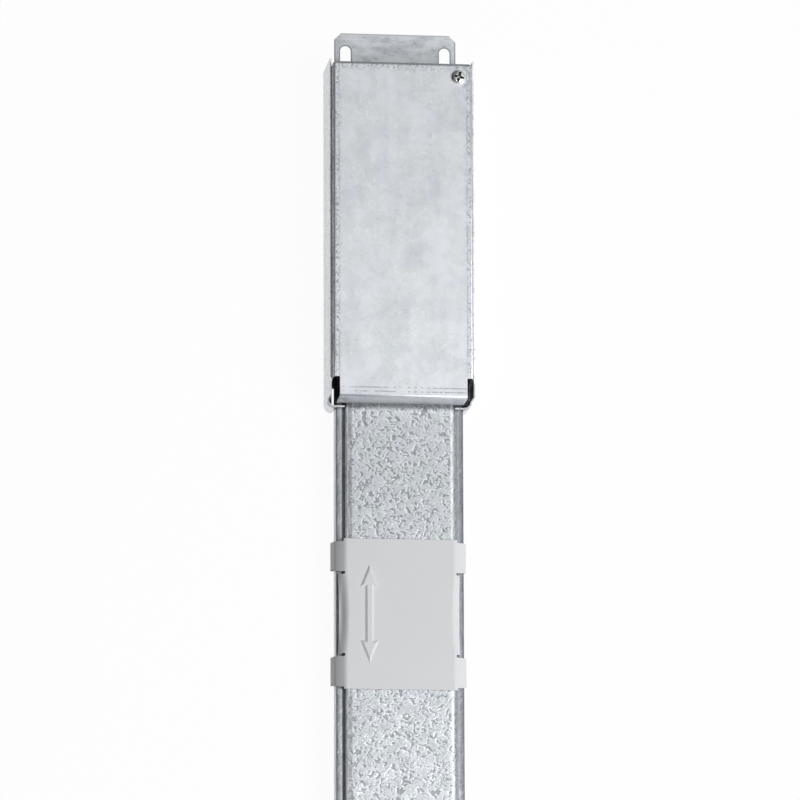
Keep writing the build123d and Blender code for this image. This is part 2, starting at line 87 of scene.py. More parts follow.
class Maths(Enum):
    """Operations of the Math node that the finishes use."""

    ADD = "ADD"
    SUBTRACT = "SUBTRACT"
    MULTIPLY = "MULTIPLY"
    ABSOLUTE = "ABSOLUTE"
    MINIMUM = "MINIMUM"
    MAXIMUM = "MAXIMUM"
    POWER = "POWER"


class Vectors(Enum):
    """Operations of the Vector Math node that the finishes use."""

    ADD = "ADD"
    SUBTRACT = "SUBTRACT"
    MULTIPLY = "MULTIPLY"
    DOT = "DOT_PRODUCT"
    DISTANCE = "DISTANCE"


class Cells(Enum):
    """What a mosaic measures: how far a place is from its cell's middle, or from the cell's border."""

    MIDDLE = "F1"
    BORDER = "DISTANCE_TO_EDGE"


@dataclass(frozen=True)
class Pattern:
    """Soft random pattern, with values mostly between 0.3 and 0.7.

    The size is that of its blobs. Detail is the number of finer layers, rough their strength and bend their distortion.
    A stretch under 1 draws the pattern out along that axis. Wander, if any, is the size and the reach of a shift.
    """

    size: float
    detail: float = 3.0
    rough: float = 0.5
    bend: float = 0.0
    stretch: Point = EVEN
    wander: Optional[Flat] = None


@dataclass(frozen=True)
class Mosaic:
    """Random cells of one size whose borders wander. Wander is the size and the reach of the shift."""

    size: float
    wander: Flat
    cells: Cells = Cells.MIDDLE


@dataclass(frozen=True)
class Ramp:
    """Share that changes smoothly from first to last while a value passes from low to high."""

    low: float
    high: float
    first: float = 0.0
    last: float = 1.0

    def at(self, place: float) -> Ramp:
        """Gives the same ramp, counted from a place."""
        return replace(self, low=place + self.low, high=place + self.high)


class Graph:
    """Adds and links the nodes of one material or world."""

    def __init__(self, tree: bpy.types.NodeTree) -> None:
        """Empties the tree.

        Args:
            tree: Node tree to fill.
        """
        self.tree = tree
        tree.nodes.clear()

    def node(self, kind: str, inputs: Optional[Dict[Any, Value]] = None, **settings: Any) -> bpy.types.Node:
        """Adds a node.

        Args:
            kind: Type name of the node.
            inputs: Values or sockets for its inputs, by name or number.
            settings: Attributes of the node itself.

        Returns:
            The new node.
        """
        made = self.tree.nodes.new(kind)
        for name, setting in settings.items():
            setattr(made, name, setting)
        for key, value in (inputs or {}).items():
            self.feed(made.inputs[key], value)
        return made

    def feed(self, target: Socket, value: Value) -> None:
        """Links a socket to an input or sets its default.

        Args:
            target: Input to feed.
            value: Socket, number or tuple.
        """
        if isinstance(value, bpy.types.NodeSocket):
            self.tree.links.new(value, target)
        elif target.type == "RGBA" and len(value) == 3:
            target.default_value = (*value, 1.0)
        else:
            target.default_value = value

    def maths(self, kind: Maths, first: Value, second: Value = 0.0) -> Socket:
        """Works out one number from two.

        Args:
            kind: Operation.
            first: Left value.
            second: Right value.

        Returns:
            The result's socket.
        """
        return self.node("ShaderNodeMath", {0: first, 1: second}, operation=kind.value).outputs[0]

    def vector(self, kind: Vectors, first: Value, second: Value) -> Socket:
        """Works out a vector from two, or a number for their dot product or distance.

        Args:
            kind: Operation.
            first: Left vector.
            second: Right vector.

        Returns:
            The result's socket.
        """
        made = self.node("ShaderNodeVectorMath", {0: first, 1: second}, operation=kind.value)
        return made.outputs["Value" if kind in (Vectors.DOT, Vectors.DISTANCE) else "Vector"]

    def chain(self, kind: Maths, values: Sequence[Value]) -> Socket:
        """Works out one number from several, in their order.

        Args:
            kind: Operation between the result so far and the next value.
            values: The values.

        Returns:
            The result's socket.
        """
        result = values[0]
        for value in values[1:]:
            result = self.maths(kind, result, value)
        return result

    def total(self, *values: Value) -> Socket:
        """Adds values up."""
        return self.chain(Maths.ADD, values)

    def less(self, first: Value, second: Value) -> Socket:
        """Takes the second value from the first."""
        return self.maths(Maths.SUBTRACT, first, second)

    def both(self, *shares: Value) -> Socket:
        """Multiplies shares, so that all of them have to hold."""
        return self.chain(Maths.MULTIPLY, shares)

    def any_of(self, *shares: Value) -> Socket:
        """Gives the largest of some shares."""
        return self.chain(Maths.MAXIMUM, shares)

    def span(self, x: Value, y: Value) -> Socket:
        """Gives the length of two offsets at a right angle."""
        return self.maths(Maths.POWER, self.total(self.both(x, x), self.both(y, y)), 0.5)

    def ramp(self, value: Value, ramp: Ramp) -> Socket:
        """Turns a value into a share, smoothly and without going past the ramp's ends.

        Args:
            value: Number to turn.
            ramp: Ramp to follow.

        Returns:
            The share's socket.
        """
        inputs = {"From Min": ramp.low, "From Max": ramp.high, "To Min": ramp.first, "To Max": ramp.last}
        made = self.node("ShaderNodeMapRange", {"Value": value, **inputs}, interpolation_type="SMOOTHSTEP")
        return made.outputs["Result"]

    def band(self, value: Value, middle: float, half: float, soft: float) -> Socket:
        """Finds a band of values.

        Args:
            value: Number to test.
            middle: Middle of the band.
            half: Half its width.
            soft: Width of its soft edges.

        Returns:
            1 within the band and 0 beyond it.
        """
        off = self.maths(Maths.ABSOLUTE, self.less(value, middle))
        return self.ramp(off, Ramp(half, half + soft, 1.0, 0.0))

    def mix(self, share: Value, first: Value, second: Value) -> Socket:
        """Mixes two colours.

        Args:
            share: Share of the second colour.
            first: First colour.
            second: Second colour.

        Returns:
            The mixed colour's socket.
        """
        mixer = self.node("ShaderNodeMix", data_type="RGBA")
        for number, value in ((0, share), (6, first), (7, second)):
            self.feed(mixer.inputs[number], value)
        return mixer.outputs[2]

    def place(self, stretch: Point = EVEN) -> Socket:
        """Gives the place on the part in millimetres.

        Args:
            stretch: Factor along each axis, under 1 for a pattern that runs along it.

        Returns:
            The vector's socket.
        """
        coordinates = self.node("ShaderNodeTexCoord").outputs["Object"]
        return self.vector(Vectors.MULTIPLY, coordinates, tuple(s / MM for s in stretch))

    def axes(self) -> Tuple[Socket, Socket, Socket]:
        """Gives X, Y and Z on the part in millimetres."""
        parts = self.node("ShaderNodeSeparateXYZ", {0: self.place()}).outputs
        return parts[0], parts[1], parts[2]

    def wandering(self, place: Socket, wander: Flat) -> Socket:
        """Shifts coordinates by a soft noise, so that a pattern's borders wander.

        Args:
            place: Coordinates in millimetres.
            wander: Size of the noise and furthest shift in millimetres.

        Returns:
            The shifted coordinates' socket.
        """
        size, reach = wander
        noise = self.node("ShaderNodeTexNoise", {"Vector": place, "Scale": 1 / size, "Detail": 2.0}).outputs[1]
        centred = self.vector(Vectors.SUBTRACT, noise, (0.5, 0.5, 0.5))
        return self.vector(Vectors.ADD, place, self.vector(Vectors.MULTIPLY, centred, (2 * reach,) * 3))

    def noise(self, pattern: Pattern, shift: Optional[Point] = None) -> Socket:
        """Lays a soft random pattern over the part.

        Args:
            pattern: Pattern to lay.
            shift: How far it is moved along each axis in millimetres.

        Returns:
            Its value's socket.
        """
        place = self.place(pattern.stretch)
        if shift is not None:
            place = self.vector(Vectors.ADD, place, shift)
        if pattern.wander is not None:
            place = self.wandering(place, pattern.wander)
        inputs = {"Vector": place, "Scale": 1 / pattern.size, "Detail": pattern.detail, "Roughness": pattern.rough}
        return self.node("ShaderNodeTexNoise", {**inputs, "Distortion": pattern.bend}).outputs[0]

    def mosaic(self, mosaic: Mosaic) -> bpy.types.Node:
        """Lays random cells over the part.

        Args:
            mosaic: Cells to lay.

        Returns:
            The texture node, with Distance and Color outputs.
        """
        inputs = {"Vector": self.wandering(self.place(), mosaic.wander), "Scale": 1 / mosaic.size}
        return self.node("ShaderNodeTexVoronoi", inputs, feature=mosaic.cells.value)

    def bump(self, height: Value, depth: float, normal: Optional[Socket] = None) -> Socket:
        """Turns a height between 0 and 1 into a relief.

        Args:
            height: Height's socket.
            depth: Depth of the relief in millimetres.
            normal: Normal to add it to.

        Returns:
            The new normal's socket.
        """
        inputs: Dict[Any, Value] = {"Height": height, "Distance": depth * MM, "Strength": 1.0}
        if normal is not None:
            inputs["Normal"] = normal
        return self.node("ShaderNodeBump", inputs).outputs[0]

    def edges(self, radius: float) -> Socket:
        """Finds the edges of a moulding.

        Args:
            radius: Reach from the edge in millimetres.

        Returns:
            1 on the faces and less towards an edge.
        """
        rounded = self.node("ShaderNodeBevel", {"Radius": radius * MM}, samples=BEVEL_SAMPLES).outputs[0]
        plain = self.node("ShaderNodeNewGeometry").outputs["Normal"]
        return self.vector(Vectors.DOT, rounded, plain)


class Draft:
    """Collects the points and faces of a new piece, in millimetres."""

    def __init__(self) -> None:
        """Starts with nothing."""
        self.points: List[Point] = []
        self.faces: List[Tuple[int, ...]] = []

    def grid(self, rows: Sequence[Sequence[Point]], closed: bool = False) -> None:
        """Adds quads through rows of points.

        Args:
            rows: Rows of the same length.
            closed: Joins each row's end to its start.
        """
        start, width = len(self.points), len(rows[0])
        for row in rows:
            self.points.extend(row)
        for r in range(len(rows) - 1):
            for c in range(width if closed else width - 1):
                a = start + r * width + c
                b = start + r * width + (c + 1) % width
                self.faces.append((a, b, b + width, a + width))

    def fan(self, ring: Sequence[Point]) -> None:
        """Adds one face with many corners.

        Args:
            ring: Its corners, counter-clockwise as seen from outside.
        """
        start = len(self.points)
        self.points.extend(ring)
        self.faces.append(tuple(range(start, start + len(ring))))

    def mesh(self, name: str) -> bpy.types.Mesh:
        """Makes a mesh of the points and faces, in metres.

        Args:
            name: Name of the mesh.

        Returns:
            The mesh.
        """
        mesh = bpy.data.meshes.new(name)
        mesh.from_pydata([tuple(v * MM for v in point) for point in self.points], [], self.faces)
        return mesh

    @staticmethod
    def thicken(work: bmesh.types.BMesh, depth: float) -> None:
        """Adds an inner skin and closes the open edges.

        Args:
            work: Mesh to change, in metres.
            depth: Thickness of the wall in metres.
        """
        work.normal_update()
        faces = list(work.faces)
        rims = [edge.link_loops[0] for edge in work.edges if edge.is_boundary]
        ends = [(loop.vert, loop.link_loop_next.vert) for loop in rims]
        inner = {corner: work.verts.new(corner.co - corner.normal * depth) for corner in list(work.verts)}
        for face in faces:
            work.faces.new([inner[corner] for corner in reversed(face.verts)])
        for first, second in ends:
            work.faces.new((second, first, inner[first], inner[second]))

    def piece(self, name: str, merge: float = 0.01, wall: float = 0.0) -> bpy.types.Object:
        """Makes the piece's object.

        Args:
            name: Name of the piece.
            merge: Distance in millimetres within which points become one.
            wall: Thickness to give to an open surface, or 0 for a closed one.

        Returns:
            The new object, smooth-shaded.
        """
        mesh = self.mesh(name)
        work = bmesh.new()
        work.from_mesh(mesh)
        bmesh.ops.remove_doubles(work, verts=work.verts, dist=merge * MM)
        bmesh.ops.dissolve_degenerate(work, edges=work.edges, dist=SHORTEST_EDGE * MM)
        if wall > 0:
            self.thicken(work, wall * MM)
        for face in work.faces:
            face.smooth = True
        work.to_mesh(mesh)
        work.free()
        made = bpy.data.objects.new(name, mesh)
        bpy.context.scene.collection.objects.link(made)
        return made

    def join(self, piece: bpy.types.Object) -> None:
        """Adds the points and faces to a piece that exists.

        Args:
            piece: Object to add them to.
        """
        mesh = self.mesh("joined")
        for face in mesh.polygons:
            face.use_smooth = True
        work = bmesh.new()
        work.from_mesh(piece.data)
        work.from_mesh(mesh)
        work.to_mesh(piece.data)
        work.free()
        bpy.data.meshes.remove(mesh)


def curve_through(points: Sequence[Flat], steps: int) -> List[Flat]:
    """Runs a smooth curve through points.

    Args:
        points: Points in order.
        steps: Number of parts of each stretch.

    Returns:
        The curve's points, from the first to the last.
    """
    ends = [points[0], *points, points[-1]]
    line = []
    for a, b, c, d in zip(ends, ends[1:], ends[2:], ends[3:]):
        for step in range(steps):
            t = step / steps
            line.append(tuple(
                0.5 * (2 * q + (r - p) * t + (2 * p - 5 * q + 4 * r - o) * t * t + (3 * q - p - 3 * r + o) * t ** 3)
                for p, q, r, o in zip(a, b, c, d)
            ))
    return [*line, points[-1]]


def inset(outline: Sequence[Flat], distance: float) -> List[Flat]:
    """Moves every side of a closed outline inwards.

    Args:
        outline: Corners, counter-clockwise.
        distance: How far the sides move, outwards if it is negative.

    Returns:
        The new corners.
    """
    moved = []
    count = len(outline)
    for n, (x, y) in enumerate(outline):
        before, after = outline[n - 1], outline[(n + 1) % count]
        first = Vector((x - before[0], y - before[1])).normalized()
        second = Vector((after[0] - x, after[1] - y)).normalized()
        normal = Vector((-first.y - second.y, first.x + second.x))
        reach = distance * 2 / normal.length_squared
        moved.append((x + normal.x * reach, y + normal.y * reach))
    return moved


@dataclass(frozen=True)
class Finish:
    """A surface finish, whose name starts the name of its material."""

    name: str

    def material(self) -> bpy.types.Material:
        """Makes the finish's material, or gives it back if it's made already.

        Returns:
            The material.
        """
        title = f"{self.name}_{type(self).__name__}"
        made = bpy.data.materials.get(title)
        if made is None:
            made = bpy.data.materials.new(title)
            made.use_nodes = True
            graph = Graph(made.node_tree)
            surface = graph.node("ShaderNodeBsdfPrincipled")
            output = graph.node("ShaderNodeOutputMaterial")
            graph.feed(output.inputs["Surface"], surface.outputs[0])
            self.paint(graph, surface)
        return made

    def paint(self, graph: Graph, surface: bpy.types.Node) -> None:
        """Feeds the surface shader.

        Args:
            graph: Graph of the material.
            surface: Its Principled shader.
        """
        raise NotImplementedError


@dataclass(frozen=True)
class GalvanisedSheet(Finish):
    """Hot-dip galvanised sheet with a mottled spangle, painted shade on the ledges beside its crown, painted highlight
    and shade lines along the crown's edges, and a painted contact shadow under the lid's near skirt.

    Lines lie across the track at their own place, and each width is half the line's and that of its soft edge.
    """

    name: str = "galvanised_sheet"
    pale: Colour = (0.56, 0.58, 0.615)
    green: Colour = (0.54, 0.58, 0.58)
    dark: Colour = (0.16, 0.17, 0.19)
    glint: Colour = (0.86, 0.88, 0.91)
    ledge_shade_colour: Colour = (0.19, 0.205, 0.22)
    grime: Colour = (0.03, 0.032, 0.036)
    metal: float = 0.55
    clouds: Pattern = Pattern(24.0)
    greenish: Ramp = Ramp(0.42, 0.6, 0.0, 0.9)
    crystals: Mosaic = Mosaic(6.0, wander=(4.0, 2.2))
    crystal_shade: Ramp = Ramp(0.0, 1.0, 0.0, 0.18)
    crystal_gloss: Ramp = Ramp(0.0, 1.0, 0.34, 0.48)
    crystal_tilt: float = 0.05
    dents: Pattern = Pattern(3.1, detail=1.2, bend=1.1, wander=(4.0, 1.6))
    dent_shade: Ramp = Ramp(0.36, 0.49, 0.72, 0.0)
    dent_depth: float = 0.13
    dent_light: Ramp = Ramp(0.35, 0.47, 0.48, 0.0)
    dent_light_shift: Point = (1.3, 0.65, 0.0)
    veins: Mosaic = Mosaic(11.0, wander=(3.0, 2.0), cells=Cells.BORDER)
    vein_light: Ramp = Ramp(0.0, 0.035, 0.4, 0.0)
    grain: Pattern = Pattern(1.1, detail=2.0, rough=0.6)
    grain_shade: Ramp = Ramp(0.34, 0.48, 0.2, 0.0)
    # Painted shade and highlight lines along the crown's edges, broken up by this noise:
    edge_light_breakup: Pattern = Pattern(3.0, detail=2.0, stretch=(1.0, 0.3, 1.0))
    edge_light_breakup_share: Ramp = Ramp(0.35, 0.6, 0.45, 1.0)
    left_shade: float = -36.9
    left_shade_width: Flat = (1.1, 1.2)
    left_shade_share: float = 0.66
    left_shine: float = -39.2
    left_shine_width: Flat = (0.75, 0.3)
    right_shine: float = 37.9
    right_shine_width: Flat = (0.7, 0.8)
    right_shine_share: float = 0.6
    crown_edge: float = 41.3
    ledge: Ramp = Ramp(-1.0, 0.2, 0.0, 0.92)
    ledge_light: Ramp = Ramp(1.6, 3.4, 0.5, 0.0)
    right_ledge_shade: Ramp = Ramp(0.0, 1.0, 0.0, 0.4)
    strokes: Pattern = Pattern(1.6, detail=2.0, stretch=(1.0, 0.2, 1.0))
    stroke_light: Ramp = Ramp(0.4, 0.7, 0.0, 0.4)
    side: float = 46.6
    left_side_light: Ramp = Ramp(0.0, 1.2, 0.85, 0.0)
    left_drop_shade: float = -40.25
    left_drop_shade_width: Flat = (0.3, 0.5)
    left_drop_shade_share: float = 0.6
    joint: float = 450.6
    joint_grime: Ramp = Ramp(-3.6, 0.6, 0.0, 0.78)

    def spangle(self, graph: Graph, tone: Socket, dents: Socket) -> Socket:
        """Mixes clouds, crystals, dents and veins.

        Args:
            graph: Graph of the material.
            tone: Random number of each crystal.
            dents: Value that is low in the worm-like dents between the crystals.

        Returns:
            The colour's socket.
        """
        colour = graph.mix(graph.ramp(graph.noise(self.clouds), self.greenish), self.pale, self.green)
        colour = graph.mix(graph.ramp(tone, self.crystal_shade), colour, self.dark)
        # Painted highlight: the dents' pattern, moved towards the lamp, lights one side of each dent.
        lit = graph.ramp(graph.noise(self.dents, self.dent_light_shift), self.dent_light)
        veined = graph.ramp(graph.mosaic(self.veins).outputs["Distance"], self.vein_light)
        colour = graph.mix(graph.any_of(lit, veined), colour, self.glint)
        colour = graph.mix(graph.ramp(dents, self.dent_shade), colour, self.dark)
        return graph.mix(graph.ramp(graph.noise(self.grain), self.grain_shade), colour, self.dark)

    def crown_edge_light(self, graph: Graph, across: Socket, colour: Socket) -> Socket:
        """Adds painted highlight lines along both edges of the crown and a painted shade line inside the left one,
        broken up by a noise.

        Args:
            graph: Graph of the material.
            across: Place across the track.
            colour: Colour to add them to.

        Returns:
            The colour's socket.
        """
        # Painted highlight on the crown's rounded edges and painted shade inside the left one; worn is only the noise
        # that breaks them up.
        worn = graph.ramp(graph.noise(self.edge_light_breakup), self.edge_light_breakup_share)
        shade = graph.band(across, self.left_shade, *self.left_shade_width)
        colour = graph.mix(graph.both(shade, worn, self.left_shade_share), colour, self.dark)
        left = graph.band(across, self.left_shine, *self.left_shine_width)
        right = graph.both(graph.band(across, self.right_shine, *self.right_shine_width), self.right_shine_share)
        return graph.mix(graph.both(graph.any_of(left, right), worn), colour, WHITE)

    def ledges(self, graph: Graph, across: Socket, colour: Socket) -> Socket:
        """Paints shade on the ledges beside the crown, lighter towards it and darker on the right, paints light on the
        left side below them, and paints a shade line on the crown's left drop.

        Args:
            graph: Graph of the material.
            across: Place across the track.
            colour: Colour of the crown.

        Returns:
            The colour's socket.
        """
        outward = graph.maths(Maths.ABSOLUTE, across)
        # Painted shade on the ledges: dull holds their shaded colour, lighter towards the crown and darker on the
        # right, with painted light on the left side.
        dull = graph.mix(graph.ramp(graph.noise(self.strokes), self.stroke_light), self.ledge_shade_colour, self.pale)
        dull = graph.mix(graph.ramp(outward, self.ledge_light.at(self.crown_edge)), dull, self.pale)
        dull = graph.mix(graph.ramp(across, self.right_ledge_shade.at(self.crown_edge)), dull, self.dark)
        dull = graph.mix(graph.ramp(across, self.left_side_light.at(-self.side)), dull, self.glint)
        colour = graph.mix(graph.ramp(outward, self.ledge.at(self.crown_edge)), colour, dull)
        # Painted shade line on the left-facing drop at the crown's left edge.
        left_drop_shade = graph.band(across, self.left_drop_shade, *self.left_drop_shade_width)
        return graph.mix(graph.both(left_drop_shade, self.left_drop_shade_share), colour, self.dark)

    def paint(self, graph: Graph, surface: bpy.types.Node) -> None:
        """Feeds spangle, painted lines at the crown's edges, painted shade on the ledges and the painted contact shadow
        under the lid's near skirt to the shader.

        Args:
            graph: Graph of the material.
            surface: Its Principled shader.
        """
        across, along, _ = graph.axes()
        crystals = graph.mosaic(self.crystals).outputs["Color"]
        tones = graph.node("ShaderNodeSeparateColor", {0: crystals}).outputs
        dents = graph.noise(self.dents)
        colour = self.crown_edge_light(graph, across, self.spangle(graph, tones[0], dents))
        colour = self.ledges(graph, across, colour)
        # Painted contact shadow on the track just beyond the lid's near skirt.
        colour = graph.mix(graph.ramp(along, self.joint_grime.at(self.joint)), colour, self.grime)
        graph.feed(surface.inputs["Base Color"], colour)
        surface.inputs["Metallic"].default_value = self.metal
        graph.feed(surface.inputs["Roughness"], graph.ramp(tones[1], self.crystal_gloss))
        tilt = graph.vector(Vectors.SUBTRACT, crystals, (0.5, 0.5, 0.5))
        tilt = graph.vector(Vectors.MULTIPLY, tilt, (self.crystal_tilt,) * 3)
        plain = graph.node("ShaderNodeNewGeometry").outputs["Normal"]
        tilted = graph.vector(Vectors.ADD, plain, tilt)
        graph.feed(surface.inputs["Normal"], graph.bump(dents, self.dent_depth, tilted))


@dataclass(frozen=True)
class ZincSheet(Finish):
    """Smooth zinc-coated sheet: cloudy, lightly streaked, flecked and mottled, with marks and painted shade of its own.
    """

    name: str = "zinc_sheet"
    pale: Colour = (0.74, 0.76, 0.79)
    violet: Colour = (0.65, 0.67, 0.725)
    green: Colour = (0.66, 0.695, 0.70)
    stain: Colour = (0.20, 0.215, 0.235)
    metal: float = 0.55
    tint: Pattern = Pattern(20.0, detail=2.0)
    greenish: Ramp = Ramp(0.4, 0.6)
    clouds: Pattern = Pattern(34.0, detail=4.0, rough=0.6, bend=0.6)
    cloud_light: Ramp = Ramp(0.35, 0.62, 0.0, 0.2)
    gloss: Ramp = Ramp(0.35, 0.65, 0.4, 0.46)
    streaks: Pattern = Pattern(7.0, rough=0.55, stretch=(1.0, 0.09, 0.3))
    streak_light: Ramp = Ramp(0.3, 0.65, 0.0, 0.34)
    patchwork: Pattern = Pattern(17.0, detail=5.0, rough=0.62, wander=(5.0, 2.5))
    patchwork_light: Ramp = Ramp(0.48, 0.52, 0.0, 0.46)
    flecks: Pattern = Pattern(2.2, detail=2.5, rough=0.7, bend=1.2, stretch=(1.0, 0.6, 1.0))
    fleck_light: Ramp = Ramp(0.55, 0.66, 0.0, 0.28)
    flecked: Ramp = Ramp(0.45, 0.6, 0.2, 1.0)
    patches: Pattern = Pattern(7.0, detail=2.0, bend=0.8, wander=(9.0, 3.0))
    patch_shade: Ramp = Ramp(0.36, 0.56, 0.05, 0.0)
    blots: Pattern = Pattern(3.0, detail=2.5, rough=0.6, bend=1.5)
    blot_shade: Ramp = Ramp(0.32, 0.46, 1.0, 0.0)
    blotted: Ramp = Ramp(0.4, 0.6, 1.0, 0.1)
    mottling: float = 0.45
    grain: Pattern = Pattern(1.4, rough=0.65)
    relief: float = 0.03

    def marks_and_shade(self, graph: Graph) -> Socket:
        """Gives the share of the stain colour for the piece's own marks and its painted shade.

        Args:
            graph: Graph of the material.

        Returns:
            The share's socket.
        """
        raise NotImplementedError

    def paint(self, graph: Graph, surface: bpy.types.Node) -> None:
        """Feeds clouds, streaks, flecks and stains to the shader.

        Args:
            graph: Graph of the material.
            surface: Its Principled shader.
        """
        tint, clouds, streaks = graph.noise(self.tint), graph.noise(self.clouds), graph.noise(self.streaks)
        colour = graph.mix(graph.ramp(tint, self.greenish), self.violet, self.green)
        patchwork = graph.ramp(graph.noise(self.patchwork), self.patchwork_light)
        lift = graph.total(graph.ramp(streaks, self.streak_light), graph.ramp(clouds, self.cloud_light), patchwork)
        colour = graph.mix(lift, colour, self.pale)
        flecks = graph.both(graph.ramp(graph.noise(self.flecks), self.fleck_light), graph.ramp(tint, self.flecked))
        colour = graph.mix(flecks, colour, WHITE)
        colour = graph.mix(graph.ramp(graph.noise(self.patches), self.patch_shade), colour, self.stain)
        blots = graph.ramp(graph.noise(self.blots), self.blot_shade)
        mottle = graph.both(blots, graph.ramp(clouds, self.blotted), self.mottling)
        # The stain colour also carries each piece's painted shade.
        colour = graph.mix(graph.any_of(mottle, self.marks_and_shade(graph)), colour, self.stain)
        graph.feed(surface.inputs["Base Color"], colour)
        surface.inputs["Metallic"].default_value = self.metal
        graph.feed(surface.inputs["Roughness"], graph.ramp(clouds, self.gloss))
        mean = graph.both(graph.total(graph.noise(self.grain), streaks), 0.5)
        graph.feed(surface.inputs["Normal"], graph.bump(mean, self.relief))


@dataclass(frozen=True)
class LidSheet(ZincSheet):
    """The lid's sheet: dashes of the bending die beside its folds, dirt at its rims, a run beside the screw, and
    painted shade on its skirts and its near fold.

    Ramps named after a height count from the floor, and the others from the lid's near or far end, or from its rim.
    """

    mottling: float = 0.16
    near: float = 452.5
    far: float = 702.5
    half: float = 51.5
    folds: Flat = (4.4, 7.4)
    fold_width: Flat = (0.28, 0.3)
    fold_share: float = 0.6
    side_fold: float = 4.6
    side_fold_width: Flat = (0.3, 0.4)
    side_fold_share: float = 0.42
    breaks_along: Pattern = Pattern(3.6, detail=2.5, rough=0.7, stretch=(1.0, 0.1, 1.0))
    breaks_across: Pattern = Pattern(3.6, detail=2.5, rough=0.7, stretch=(0.1, 1.0, 1.0))
    breaks_across_share: float = 0.9
    unbroken: Ramp = Ramp(0.46, 0.56)
    rim: Ramp = Ramp(2.0, 8.0, 1.0, 0.0)
    crumbs: Pattern = Pattern(2.0, detail=2.0, rough=0.6, bend=1.0)
    crumb_shade: Ramp = Ramp(0.4, 0.5, 0.7, 0.0)
    outline: float = 1.5
    outline_width: Flat = (0.5, 0.5)
    outline_shade: Ramp = Ramp(12.0, 30.0, 0.0, 0.5)
    screw: Flat = (41.0, 692.0)
    screw_height: float = 50.0
    run_radius: float = 8.2
    run_width: Flat = (0.7, 0.9)
    run_wander: Flat = (5.0, 1.6)
    run_shade: Ramp = Ramp(1.0, 5.0, 0.0, 0.45)
    # Painted shade: faint on all skirts, on the near fold to tone its highlight down, and in patches on the side and
    # far skirts.
    skirt_shade: Ramp = Ramp(46.8, 48.6, 0.06, 0.0)
    bend: Ramp = Ramp(0.9, 2.2, 0.6, 0.0)
    bend_height: Ramp = Ramp(49.2, 49.8)
    seam: Ramp = Ramp(-1.5, -0.7, 0.0, 0.6)
    flank: Ramp = Ramp(0.3, 0.5, 1.0, 0.0)
    flank_height: Ramp = Ramp(48.8, 49.4, 1.0, 0.0)
    flank_patches: Pattern = Pattern(6.0, detail=2.0, stretch=(1.0, 0.3, 1.0))
    flank_shade: Ramp = Ramp(0.44, 0.56, 0.0, 0.8)

    def die_marks(self, graph: Graph, outward: Socket, along: Socket) -> Socket:
        """Gives the broken lines that the bending die left beside the folds.

        Args:
            graph: Graph of the material.
            outward: Distance from the lid's middle line.
            along: Place along the track.

        Returns:
            Their share of stain.
        """
        uneven = graph.any_of(
            graph.noise(self.breaks_along),
            graph.both(graph.noise(self.breaks_across), self.breaks_across_share),
        )
        unbroken = graph.ramp(uneven, self.unbroken)
        lines = graph.any_of(*(graph.band(along, self.near + fold, *self.fold_width) for fold in self.folds))
        sides = graph.band(outward, self.half - self.side_fold, *self.side_fold_width)
        return graph.any_of(
            graph.both(lines, unbroken, self.fold_share),
            graph.both(sides, unbroken, self.side_fold_share),
        )

    def rims(self, graph: Graph, inward: Socket, along: Socket) -> Socket:
        """Gives the crumbs of dirt and the thin dark line along the side and far rims.

        Args:
            graph: Graph of the material.
            inward: Distance from the nearest of these rims.
            along: Place along the track.

        Returns:
            Their share of stain.
        """
        crumbs = graph.ramp(graph.noise(self.crumbs), self.crumb_shade)
        line = graph.band(inward, self.outline, *self.outline_width)
        return graph.any_of(
            graph.both(graph.ramp(inward, self.rim), crumbs),
            graph.both(line, graph.ramp(along, self.outline_shade.at(self.near))),
        )

    def run(self, graph: Graph, across: Socket) -> Socket:
        """Gives the curved run beside the screw.

        Args:
            graph: Graph of the material.
            across: Place across the track.

        Returns:
            Its share of stain.
        """
        place = graph.wandering(graph.place(), self.run_wander)
        off = graph.vector(Vectors.DISTANCE, place, (*self.screw, self.screw_height))
        ring = graph.band(off, self.run_radius, *self.run_width)
        return graph.both(ring, graph.ramp(across, self.run_shade.at(self.screw[0])))

    def marks_and_shade(self, graph: Graph) -> Socket:
        """Gives the share for die marks, rims, the run and the far seam, and the painted shade on the near fold and the
        skirts.

        Args:
            graph: Graph of the material.

        Returns:
            The share's socket.
        """
        across, along, height = graph.axes()
        outward = graph.maths(Maths.ABSOLUTE, across)
        inward = graph.maths(Maths.MINIMUM, graph.less(self.half, outward), graph.less(self.far, along))
        patches = graph.ramp(graph.noise(self.flank_patches), self.flank_shade)
        return graph.any_of(
            self.die_marks(graph, outward, along),
            self.rims(graph, inward, along),
            self.run(graph, across),
            # Painted shade, faint, on the skirts below the top.
            graph.ramp(height, self.skirt_shade),
            # Painted shade on the near fold, toning its highlight down.
            graph.both(graph.ramp(along, self.bend.at(self.near)), graph.ramp(height, self.bend_height)),
            graph.ramp(along, self.seam.at(self.far)),
            # Painted shade, in patches, on the side and far skirts.
            graph.both(graph.ramp(inward, self.flank), graph.ramp(height, self.flank_height), patches),
        )


